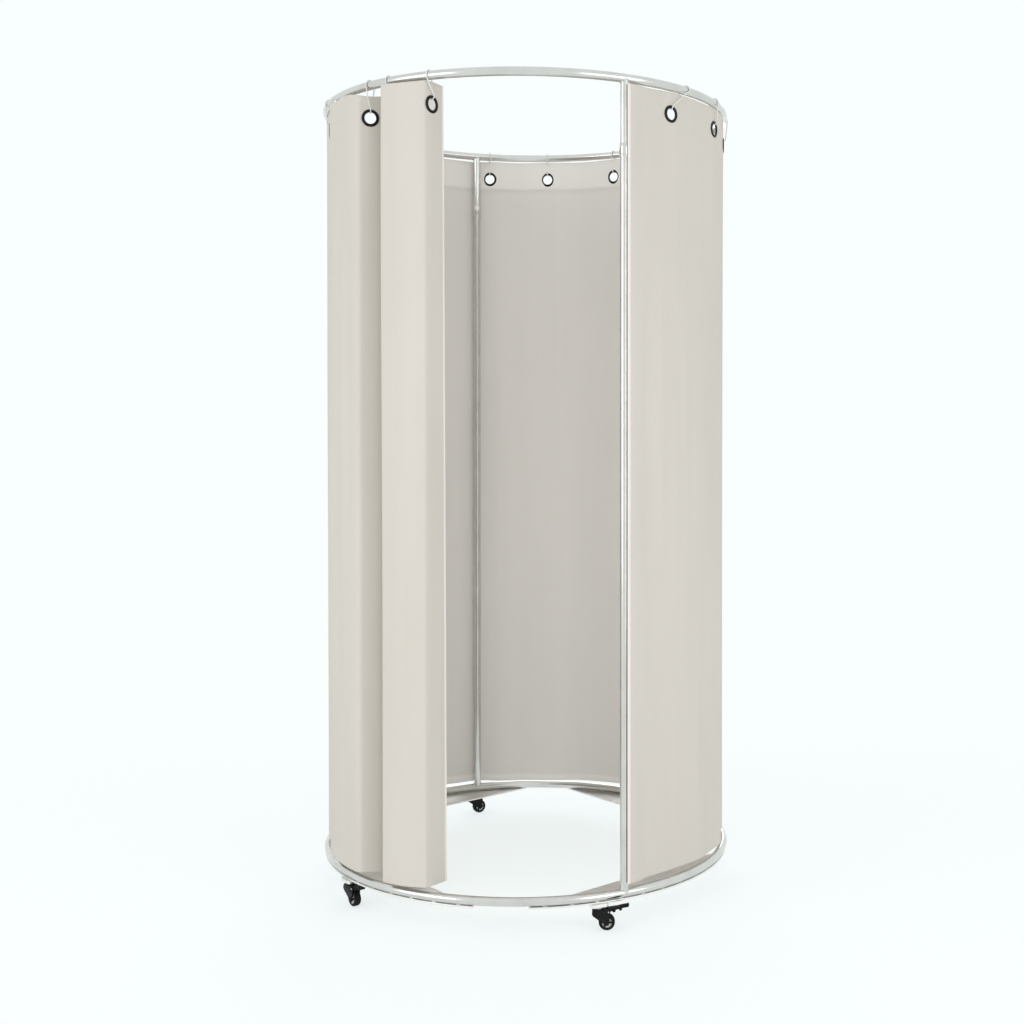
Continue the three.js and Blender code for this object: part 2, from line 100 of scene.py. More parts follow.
class Sock:
    """An output socket of a node tree that can be used in sums."""

    def __init__(self, tree: bpy.types.NodeTree, socket: Socket) -> None:
        """Keeps the tree that new Math nodes go into, and the output that this value is."""
        self.tree = tree
        self.socket = socket

    def maths(self, operation: str, *values: "Sock | float") -> "Sock":
        """The result of a new Math node with these inputs."""
        wiring = Wiring(self.tree)
        return wiring.out(wiring.node("ShaderNodeMath", dict(enumerate(values)), operation=operation))

    def __add__(self, other: "Sock | float") -> "Sock":
        """This plus other."""
        return self.maths("ADD", self, other)

    def __sub__(self, other: "Sock | float") -> "Sock":
        """This minus other."""
        return self.maths("SUBTRACT", self, other)

    def __rsub__(self, other: float) -> "Sock":
        """other minus this."""
        return self.maths("SUBTRACT", other, self)

    def __mul__(self, other: "Sock | float") -> "Sock":
        """This times other."""
        return self.maths("MULTIPLY", self, other)

    def __truediv__(self, other: "Sock | float") -> "Sock":
        """This over other."""
        return self.maths("DIVIDE", self, other)

    def __rtruediv__(self, other: float) -> "Sock":
        """other over this."""
        return self.maths("DIVIDE", other, self)

    def __pow__(self, other: "Sock | float") -> "Sock":
        """This to the power of other."""
        return self.maths("POWER", self, other)

    def __rpow__(self, other: float) -> "Sock":
        """other to the power of this."""
        return self.maths("POWER", other, self)

    def sine(self) -> "Sock":
        """The sine of this, in radians."""
        return self.maths("SINE", self)

    def least(self, other: "Sock | float") -> "Sock":
        """The smaller of this and other."""
        return self.maths("MINIMUM", self, other)

    def most(self, other: "Sock | float") -> "Sock":
        """The larger of this and other."""
        return self.maths("MAXIMUM", self, other)

    __radd__ = __add__
    __rmul__ = __mul__


class Wiring:
    """A node tree, with one way to add any node."""

    def __init__(self, tree: bpy.types.NodeTree) -> None:
        """Keeps the tree."""
        self.tree = tree

    def plug(self, node: Node, inputs: dict[str | int, object]) -> Node:
        """Sets a node's inputs.

        Args:
            node: the node.
            inputs: by name or number, a value, an output, or a node for its first output.

        Returns:
            The node.
        """
        for key, value in inputs.items():
            if isinstance(value, Node):
                value = value.outputs[0]
            elif isinstance(value, Sock):
                value = value.socket
            if isinstance(value, Socket):
                self.tree.links.new(value, node.inputs[key])
            else:
                node.inputs[key].default_value = value
        return node

    def node(self, kind: str, inputs: dict[str | int, object] | None = None, **settings: object) -> Node:
        """Adds a node.

        Args:
            kind: the node's type.
            inputs: what its inputs take, as for plug.
            settings: the node's own properties.

        Returns:
            The node.
        """
        node = self.tree.nodes.new(kind)
        for key, value in settings.items():
            setattr(node, key, value)
        return self.plug(node, inputs or {})

    def out(self, node: Node, key: str | int = 0) -> Sock:
        """An output of a node, for sums."""
        return Sock(self.tree, node.outputs[key])

    def seen(self) -> Sock:
        """1 for rays that come from the camera, a gloss or clear stuff, and else 0.

        Returns:
            That share.
        """
        path = self.node("ShaderNodeLightPath")
        kinds = ("Camera", "Glossy", "Transmission")
        camera, gloss, clear = (self.out(path, f"Is {kind} Ray") for kind in kinds)
        return (camera + gloss + clear).least(1.0)


class Dye(Wiring):
    """A material's node tree while it is being mixed."""

    def __init__(self, name: str) -> None:
        """Makes a material that holds one Principled shader.

        Args:
            name: the material's name.
        """
        self.material = bpy.data.materials.new(name)
        self.material.use_nodes = True
        super().__init__(self.material.node_tree)
        self.tree.nodes.clear()
        self.shader = self.node("ShaderNodeBsdfPrincipled")
        self.sink = self.node("ShaderNodeOutputMaterial", {"Surface": self.shader})

    def here(self, scale: Point3 = EVEN, by_cloth: bool = False) -> Sock:
        """The place on the piece.

        Args:
            scale: how much the pattern is drawn together along each axis.
            by_cloth: whether it is the cloth's own lengthwise and upright measure.

        Returns:
            The coordinates.
        """
        if by_cloth:
            source = self.out(self.node("ShaderNodeUVMap", uv_map="cloth"))
        else:
            source = self.out(self.node("ShaderNodeTexCoord"), "Object")
        return self.out(self.node("ShaderNodeMapping", {"Vector": source, "Scale": scale}))

    def noise(self, fine: float, detail: float = 2.0, rough: float = 0.5, scale: Point3 = EVEN,
              by_cloth: bool = False) -> Sock:
        """Soft noise between about 0.25 and 0.75.

        Args:
            fine: how fine it is.
            detail: how many finer layers it has.
            rough: how strong the finer layers are.
            scale: how much it is drawn together along each axis.
            by_cloth: whether it follows the cloth.

        Returns:
            The noise.
        """
        inputs = {"Vector": self.here(scale, by_cloth), "Scale": fine, "Detail": detail, "Roughness": rough}
        return self.out(self.node("ShaderNodeTexNoise", inputs), "Fac")

    def between(self, share: Sock, low: Point3, high: Point3) -> Sock:
        """A colour between two, the first where the share is 0 and the second where it is 1."""
        inputs = {0: share, 6: (*low, 1.0), 7: (*high, 1.0)}
        return self.out(self.node("ShaderNodeMix", inputs, data_type="RGBA", clamp_factor=True), 2)

    def bump(self, height: Sock, distance: float, strength: float, **under: Sock) -> Sock:
        """Surface relief so many metres high, on top of another normal if one is given."""
        inputs = {"Strength": strength, "Distance": distance, "Height": height, **under}
        return self.out(self.node("ShaderNodeBump", inputs))

    def dress(self, values: dict[str, object]) -> Material:
        """Sets the Principled shader's inputs and hands the material over."""
        self.plug(self.shader, values)
        return self.material


# ---- Finishes


@dataclass(frozen=True)
class SteelFinish:
    """Polished stainless tube and plate with faint smears and hairline scratches."""

    name: str = "polished_steel"
    clean: Point3 = (0.69, 0.683, 0.662)
    smeared: Point3 = (0.61, 0.60, 0.575)
    roughness: float = 0.15
    smear_roughness: float = 0.16
    smear_fine: float = 14.0
    hair_fine: float = 260.0
    grit_fine: float = 1400.0
    relief: float = 0.00002

    def make(self) -> Material:
        """Mixes the material.

        Returns:
            The material.
        """
        dye = Dye(self.name)
        smear = dye.noise(self.smear_fine, 4.0, 0.6)
        hair = dye.noise(self.hair_fine, 3.0, 0.7, (1.0, 1.0, 9.0))
        grit = dye.noise(self.grit_fine, 1.0)
        return dye.dress({
            "Base Color": dye.between((smear - 0.3) * 2.5, self.clean, self.smeared),
            "Metallic": 1.0,
            "Roughness": self.roughness + (smear - 0.35).most(0.0) * self.smear_roughness * 2.0,
            "Normal": dye.bump(hair * 0.6 + grit * 0.4, self.relief, 0.35),
        })


@dataclass(frozen=True)
class ClothFinish:
    """Blackout curtain cloth: a fine plain weave on a soft coated back, with faint upright streaks of painted
    shade in its colour. Each of its noises has its fineness, its layers, and how much it is drawn together
    along and up the cloth."""

    name: str
    low: Point3
    high: Point3
    sheen: float = 0.12
    thread: float = 0.00055
    roughness: float = 0.84
    thread_relief: float = 0.00008
    crease_relief: float = 0.0012
    slub: Point4 = (90.0, 2.0, 1.0, 14.0)
    pick: Point4 = (90.0, 2.0, 14.0, 1.0)
    cloud: Point4 = (2.6, 3.0, 1.0, 0.45)
    # painted shade: faint upright streaks in the cloth's colour
    shade_streak: Point4 = (22.0, 2.0, 1.0, 0.06)
    crease: Point4 = (9.0, 3.0, 1.0, 0.5)

    def make(self) -> Material:
        """Mixes the material.

        Returns:
            The material.
        """
        dye = Dye(self.name)
        flat = dye.node("ShaderNodeSeparateXYZ", {0: dye.here(by_cloth=True)})
        turns = math.tau / self.thread
        weave = (dye.out(flat, 0) * turns).sine() * (dye.out(flat, 1) * turns).sine()
        slub, pick, cloud, shade_streak, crease = (
            dye.noise(fine, detail, scale=(along, up, 1.0), by_cloth=True)
            for fine, detail, along, up in (self.slub, self.pick, self.cloud, self.shade_streak, self.crease)
        )
        # The upright streaks in this tone are painted shade, standing in for the shading of soft folds; the
        # cloud, slub and pick are the cloth's own random tone.
        tone = (cloud - 0.35) * 1.6 + (shade_streak - 0.5) * 0.9 + (slub + pick - 1.0) * 0.35
        threads = dye.bump(weave * 0.22 + slub * 0.35 + pick * 0.35, self.thread_relief, 0.6)
        return dye.dress({
            "Base Color": dye.between(tone, self.low, self.high),
            "Roughness": self.roughness + (slub - 0.5) * 0.2,
            "Specular IOR Level": 0.28,
            "Sheen Weight": self.sheen,
            "Sheen Roughness": 0.5,
            "Normal": dye.bump(crease, self.crease_relief, 0.5, Normal=threads),
        })


@dataclass(frozen=True)
class MouldedFinish:
    """Moulded plastic, rubber or coated metal: a fine grain, faint dust and small scuffs."""

    name: str
    body: Point3
    dusty: Point3
    roughness: float = 0.45
    grain: float = 900.0
    relief: float = 0.00004
    dust: float = 0.35
    coat: float = 0.0
    patch_fine: float = 55.0
    scuff_fine: float = 320.0

    def make(self) -> Material:
        """Mixes the material.

        Returns:
            The material.
        """
        dye = Dye(self.name)
        patch = dye.noise(self.patch_fine, 4.0, 0.65)
        grain = dye.noise(self.grain)
        scuff = dye.noise(self.scuff_fine, 2.0, 0.8, (1.0, 1.0, 5.0))
        share = ((patch - 0.45).most(0.0) * 3.0 + (scuff - 0.62).most(0.0) * 5.0).least(1.0) * self.dust
        return dye.dress({
            "Base Color": dye.between(share, self.body, self.dusty),
            "Roughness": (self.roughness + share * 0.35 + (grain - 0.5) * 0.1).least(1.0),
            "Specular IOR Level": 0.15,
            "Coat Weight": self.coat,
            "Normal": dye.bump(grain, self.relief, 0.7),
        })


def mixed(finish: SteelFinish | ClothFinish | MouldedFinish) -> Material:
    """A field that holds a finish's material, mixed when its owner is made."""
    return field(default_factory=finish.make)


@dataclass
class Finishes:
    """Every finish of the fitting room, mixed once."""

    steel: Material = mixed(SteelFinish())
    sheet_steel: Material = mixed(
        SteelFinish("satin_sheet_steel", (0.88, 0.87, 0.85), (0.78, 0.765, 0.74), 0.36, 0.2))
    face: Material = mixed(ClothFinish("curtain_face", (0.66, 0.632, 0.575), (0.72, 0.692, 0.635)))
    lining: Material = mixed(ClothFinish("curtain_lining", (0.79, 0.77, 0.735), (0.83, 0.81, 0.775), 0.05))
    hem: Material = mixed(ClothFinish("curtain_hem", (0.87, 0.845, 0.81), (0.905, 0.88, 0.845), 0.08))
    thread: Material = mixed(
        MouldedFinish("sewing_thread", (0.74, 0.72, 0.68), (0.6, 0.58, 0.54), 0.7, 2500.0))
    eyelet: Material = mixed(MouldedFinish(
        "black_eyelet", (0.008, 0.008, 0.009), (0.03, 0.03, 0.03), 0.42, 700.0, 0.00002, 0.2, 0.1))
    wire: Material = mixed(
        MouldedFinish("white_wire", (0.80, 0.80, 0.785), (0.62, 0.61, 0.58), 0.3, 1200.0, 0.00002, 0.3))
    fork: Material = mixed(MouldedFinish("fork_black", (0.007, 0.007, 0.008), (0.03, 0.029, 0.028), 0.42))
    lever: Material = mixed(
        MouldedFinish("lever_black", (0.006, 0.006, 0.007), (0.026, 0.025, 0.024), 0.55, 700.0))
    tyre: Material = mixed(
        MouldedFinish("tyre_rubber", (0.007, 0.007, 0.007), (0.04, 0.038, 0.036), 0.7, 600.0, 0.00006, 0.4))
    disc: Material = mixed(
        MouldedFinish("disc_nylon", (0.60, 0.60, 0.59), (0.42, 0.41, 0.39), 0.42, 800.0, 0.00003, 0.4))


# ---- Mesh work


def linked(name: str, data: bpy.types.ID) -> Piece:
    """An object of the scene.

    Args:
        name: its name.
        data: what it holds.

    Returns:
        The object.
    """
    made = bpy.data.objects.new(name, data)
    bpy.context.scene.collection.objects.link(made)
    return made


def raw_mesh(name: str, verts: list, edges: list, faces: list) -> Mesh:
    """A mesh.

    Args:
        name: its name.
        verts: its corners.
        edges: its loose edges, as pairs of corners.
        faces: its faces, as lists of corners.

    Returns:
        The mesh.
    """
    mesh = bpy.data.meshes.new(name)
    mesh.from_pydata(verts, edges, faces)
    return mesh


def edge_path(name: str, points: list[Vector], closed: bool = False) -> Mesh:
    """A line of points as a mesh of edges, closed or open."""
    edges = [(i, i + 1) for i in range(len(points) - 1)] + [(len(points) - 1, 0)] * closed
    return raw_mesh(name, [tuple(p) for p in points], edges, [])


def as_made(holder: Piece) -> Mesh:
    """What an object's modifiers make of it, as a plain mesh. The object is used up.

    Args:
        holder: the object.

    Returns:
        The mesh.
    """
    base, graph = holder.data, bpy.context.evaluated_depsgraph_get()
    mesh = bpy.data.meshes.new_from_object(holder.evaluated_get(graph), depsgraph=graph)
    holder.modifiers.clear()
    bpy.data.objects.remove(holder)
    bpy.data.meshes.remove(base)
    return mesh


def turn_outwards(mesh: Mesh, flat_gap: float = 0.0) -> None:
    """Merges a mesh's doubles and points its faces outwards.

    Args:
        mesh: the mesh.
        flat_gap: if not 0, faces flatter than this go.
    """
    bm = bmesh.new()
    bm.from_mesh(mesh)
    bmesh.ops.remove_doubles(bm, verts=bm.verts, dist=MERGE)
    if flat_gap:
        bmesh.ops.dissolve_degenerate(bm, dist=flat_gap, edges=bm.edges)
    bmesh.ops.recalc_face_normals(bm, faces=bm.faces)
    bm.to_mesh(mesh)
    bm.free()


def softened(mesh: Mesh, angle: float = 35.0) -> Mesh:
    """A mesh shaded smooth, with edges kept sharp from an angle in degrees.

    Args:
        mesh: the mesh.
        angle: the angle.

    Returns:
        The same mesh.
    """
    mesh.polygons.foreach_set("use_smooth", [True] * len(mesh.polygons))
    mesh.set_sharp_from_angle(angle=math.radians(angle))
    return mesh


def lathe(name: str, profile: list[Point2], steps: int, finish: Material) -> Mesh:
    """A shape turned about Z.

    Args:
        name: the mesh's name.
        profile: radius and height of each point, from end to end or round a closed section.
        steps: how many steps one turn has.
        finish: its material.

    Returns:
        The mesh.
    """
    verts, faces, count = [], [], len(profile)
    spans = count if profile[0][0] > MERGE else count - 1
    for i in range(steps):
        turn = math.tau * i / steps
        verts += [(r * math.cos(turn), r * math.sin(turn), z) for r, z in profile]
        a, b = i * count, (i + 1) % steps * count
        faces += [(a + k, b + k, b + (k + 1) % count, a + (k + 1) % count) for k in range(spans)]
    mesh = raw_mesh(name, verts, [], faces)
    turn_outwards(mesh, MERGE / 10.0)
    mesh.materials.append(finish)
    return softened(mesh, 40.0)


def both_ends(side: list[Point2]) -> list[Point2]:
    """A lathe profile that is the same above and below Z 0."""
    return [(r, -z) for r, z in side] + [(r, z) for r, z in reversed(side)]


def arc(x: float, y: float, r: float, start: float, end: float, steps: int = 8) -> list[Point2]:
    """Points of an arc round a centre, from one angle in degrees to another."""
    turns = [math.radians(start + (end - start) * i / steps) for i in range(steps + 1)]
    return [(x + r * math.cos(t), y + r * math.sin(t)) for t in turns]


def curve(a: Vector, corner: Vector, b: Vector, t: float) -> tuple[float, ...]:
    """The point at a share t of the curve from a to b that a corner draws out."""
    return tuple(a.lerp(corner, t).lerp(corner.lerp(b, t), t))


def rounded(corners: list[Point2], radius: float, steps: int = 4) -> list[Point2]:
    """An outline with its corners rounded.

    Args:
        corners: the sharp outline.
        radius: how far from a corner the rounding starts.
        steps: how many steps each corner has.

    Returns:
        The points.
    """
    made = []
    for i, corner in enumerate(corners):
        at = Vector(corner)
        before, after = Vector(corners[i - 1]) - at, Vector(corners[(i + 1) % len(corners)]) - at
        reach = min(radius, before.length / 2.2, after.length / 2.2)
        a, b = at + before.normalized() * reach, at + after.normalized() * reach
        made += [curve(a, at, b, k / steps) for k in range(steps + 1)]
    return made


def cut_plate(name: str, loops: list[list[Point2]], depth: float, edge: float, finish: Material) -> Mesh:
    """A plate cut to an outline, with holes and broken edges, flat in XY and centred on Z 0.

    Args:
        name: the mesh's name.
        loops: the outline, then each hole.
        depth: its thickness.
        edge: how wide its broken edges are.
        finish: its material.

    Returns:
        The mesh.
    """
    flat = [[Vector((x, y, 0.0)) for x, y in loop] for loop in loops]
    verts = [(p.x, p.y, side * depth / 2.0) for side in (1, -1) for loop in flat for p in loop]
    count, faces, start = len(verts) // 2, [], 0
    for tri in tessellate_polygon(flat):
        faces += [tuple(tri), tuple(i + count for i in reversed(tri))]
    for loop in loops:
        for i in range(len(loop)):
            a, b = start + i, start + (i + 1) % len(loop)
            faces.append((a, b, b + count, a + count))
        start += len(loop)
    mesh = raw_mesh(name, verts, [], faces)
    turn_outwards(mesh)
    mesh.materials.append(finish)
    holder = linked(name + "_blank", mesh)
    bevel = holder.modifiers.new("edge", "BEVEL")
    bevel.width, bevel.segments = edge, 2
    bevel.limit_method, bevel.angle_limit = "ANGLE", math.radians(35.0)
    return softened(as_made(holder))


def moved(mesh: Mesh, matrix: Matrix) -> Mesh:
    """A mesh after a move."""
    mesh.transform(matrix)
    return mesh


def assembled(name: str, parts: list[Mesh], at: Matrix | None = None) -> Piece:
    """One piece from several meshes.

    Args:
        name: the piece's name.
        parts: its meshes, which are used up.
        at: where it goes, or None if they are in place.

    Returns:
        The piece, its object at the origin.
    """
    bm = bmesh.new()
    finishes: list[Material] = []
    for part in parts:
        finishes += [material for material in part.materials if material not in finishes]
        numbers = [finishes.index(material) for material in part.materials]
        before = len(bm.faces)
        bm.from_mesh(part)
        bm.faces.ensure_lookup_table()
        for face in bm.faces[before:]:
            face.material_index = numbers[face.material_index]
        bpy.data.meshes.remove(part)
    mesh = bpy.data.meshes.new(name)
    bm.to_mesh(mesh)
    bm.free()
    for material in finishes:
        mesh.materials.append(material)
    return linked(name, moved(mesh, at or Matrix()))


def seat(piece: Piece, body: str, slot: str = "", *nodes: str) -> Piece:
    """Puts a finished piece on its body.

    Args:
        piece: the piece.
        body: the body it moves with.
        slot: not used.
        nodes: the plain solids that it stands for.

    Returns:
        The piece.
    """
    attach(piece, body)
    if nodes:
        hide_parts(*nodes)
    log.info("%s rides on %s, %d faces", piece.name, body, len(piece.data.polygons))
    return piece


# ---- Repeats and sweeps by Geometry Nodes


class Pattern(Wiring):
    """A Geometry Nodes tree with named inputs that turns a path or a set of points into a piece."""

    def __init__(self, name: str, **sizes: str) -> None:
        """Starts the tree.

        Args:
            name: the tree's name.
            sizes: its own inputs by name, each with the kind of its socket.
        """
        super().__init__(bpy.data.node_groups.new(name, "GeometryNodeTree"))
        face = self.tree.interface
        face.new_socket("Path", in_out="INPUT", socket_type="NodeSocketGeometry")
        self.ids = {
            label: face.new_socket(label, in_out="INPUT", socket_type=f"NodeSocket{kind}").identifier
            for label, kind in {**sizes, "Finish": "Material"}.items()
        }
        face.new_socket("Piece", in_out="OUTPUT", socket_type="NodeSocketGeometry")
        self.entry = self.node("NodeGroupInput")

    def __getitem__(self, label: str) -> Socket:
        """The output that brings one named input in."""
        return self.entry.outputs[label]

    def vector(self, x: object = 0.0, y: object = 0.0, z: object = 0.0) -> Node:
        """A vector of three values or outputs."""
        return self.node("ShaderNodeCombineXYZ", {0: x, 1: y, 2: z})

    def spread(self, points: Socket | Node, piece: Node, rotation: Socket | Node) -> "Pattern":
        """Ends the tree in a piece at each point."""
        inputs = {"Points": points, "Instance": piece, "Rotation": rotation}
        return self.close(self.node("GeometryNodeInstanceOnPoints", inputs))

    def close(self, made: Node) -> "Pattern":
        """Ends the tree in Realize Instances and Set Material.

        Args:
            made: the node that brings the geometry so far.

        Returns:
            This pattern.
        """
        smooth = self.node("GeometryNodeSetShadeSmooth", {"Geometry": made})
        real = self.node("GeometryNodeRealizeInstances", {"Geometry": smooth})
        dyed = self.node("GeometryNodeSetMaterial", {"Geometry": real, "Material": self["Finish"]})
        self.node("NodeGroupOutput", {"Piece": dyed})
        return self

    def run(self, name: str, base: Mesh, finish: Material, **sizes: float) -> Mesh:
        """Makes a plain mesh with the tree.

        Args:
            name: the new mesh's name.
            base: the path or points, which are used up.
            finish: its material.
            sizes: the tree's own inputs.

        Returns:
            The mesh.
        """
        holder = linked(name + "_path", base)
        modifier = holder.modifiers.new("pattern", "NODES")
        modifier.node_group = self.tree
        for label, value in {"Finish": finish, **sizes}.items():
            modifier[self.ids[label]] = value
        mesh = as_made(holder)
        mesh.name = name
        turn_outwards(mesh)
        return mesh


def bar_pattern() -> Pattern:
    """A round bar along a path.

    Returns:
        The pattern.
    """
    made = Pattern("round_bar", Radius="Float", Sides="Int")
    path = made.node("GeometryNodeMeshToCurve", {"Mesh": made["Path"]})
    section = {"Resolution": made["Sides"], "Radius": made["Radius"]}
    ring = made.node("GeometryNodeCurvePrimitiveCircle", section)
    return made.close(
        made.node("GeometryNodeCurveToMesh", {"Curve": path, "Profile Curve": ring, "Fill Caps": True}))


def stitch_pattern() -> Pattern:
    """A row of stitches, or of short weld beads, along a path.

    Returns:
        The pattern.
    """
    made = Pattern("stitch_row", Pitch="Float", Length="Float", Thickness="Float")
    path = made.node("GeometryNodeMeshToCurve", {"Mesh": made["Path"]})
    spots = made.node("GeometryNodeCurveToPoints", {"Curve": path, "Length": made["Pitch"]}, mode="LENGTH")
    bead = made.node("GeometryNodeMeshUVSphere", {"Segments": 6, "Rings": 4, "Radius": 0.5})
    shape = made.vector(made["Thickness"], made["Thickness"], made["Length"])
    drawn = made.node("GeometryNodeTransform", {"Geometry": bead, "Scale": shape})
    return made.spread(spots.outputs["Points"], drawn, spots.outputs["Rotation"])


def bolt_pattern() -> Pattern:
    """A domed hexagon head on a washer at each point, each head turned at random.

    Returns:
        The pattern.
    """
    made = Pattern("bolt_heads", Head="Float", Height="Float", Washer="Float", Way="Float")
    spots = made.node("GeometryNodeMeshToPoints", {"Mesh": made["Path"]})
    washer, head = (
        made.node("GeometryNodeMeshCylinder", {"Vertices": sides, "Radius": radius, "Depth": depth})
        for sides, radius, depth in ((24, made["Washer"], 0.0008), (6, made["Head"], made["Height"]))
    )
    dome = made.node("GeometryNodeMeshUVSphere", {"Segments": 18, "Rings": 10, "Radius": made["Head"]})
    half = made.node("ShaderNodeMath", {0: made["Height"], 1: 0.5}, operation="MULTIPLY")
    raised = made.node("GeometryNodeTransform", {"Geometry": head, "Translation": made.vector(z=half)})
    cap = made.node("GeometryNodeTransform", {
        "Geometry": dome, "Translation": made.vector(z=made["Height"]), "Scale": (0.82, 0.82, 0.28),
    })
    whole = made.node("GeometryNodeJoinGeometry")
    for piece in (washer, raised, cap):
        made.plug(whole, {0: piece})
    way = made.vector(1.0, 1.0, made["Way"])
    aimed = made.node("GeometryNodeTransform", {"Geometry": whole, "Scale": way})
    turn = made.node("FunctionNodeRandomValue", {2: 0.0, 3: 1.05, "Seed": 7}, data_type="FLOAT")
    return made.spread(
        spots, aimed, made.node("FunctionNodeEulerToRotation", {0: made.vector(z=turn.outputs[1])}))


def rib_pattern() -> Pattern:
    """Ribs that stand round a hub like spokes.

    Returns:
        The pattern.
    """
    sizes = dict.fromkeys(("Reach", "Length", "Width", "Height"), "Float")
    made = Pattern("spoke_ribs", Count="Int", **sizes)
    hoop = made.node("GeometryNodeMeshCircle", {"Vertices": made["Count"], "Radius": made["Reach"]})
    shape = made.vector(made["Length"], made["Width"], made["Height"])
    rib = made.node("GeometryNodeMeshCube", {"Size": shape})
    index = made.node("GeometryNodeInputIndex")
    step = made.node("ShaderNodeMath", {0: math.tau, 1: made["Count"]}, operation="DIVIDE")
    turn = made.node("ShaderNodeMath", {0: index, 1: step}, operation="MULTIPLY")
    return made.spread(hoop, rib, made.node("FunctionNodeEulerToRotation", {0: made.vector(z=turn)}))


@dataclass
class Patterns:
    """The Geometry Nodes trees, built once."""

    bars: Pattern = field(default_factory=bar_pattern)
    stitches: Pattern = field(default_factory=stitch_pattern)
    bolts: Pattern = field(default_factory=bolt_pattern)
    ribs: Pattern = field(default_factory=rib_pattern)

    def bar(self, name: str, path: list[Vector], finish: Material, radius: float, sides: int = 8,
            closed: bool = False) -> Mesh:
        """A round bar along a path of points, closed or open."""
        return self.bars.run(name, edge_path(name, path, closed), finish, Radius=radius, Sides=sides)


# ---- The steel frame


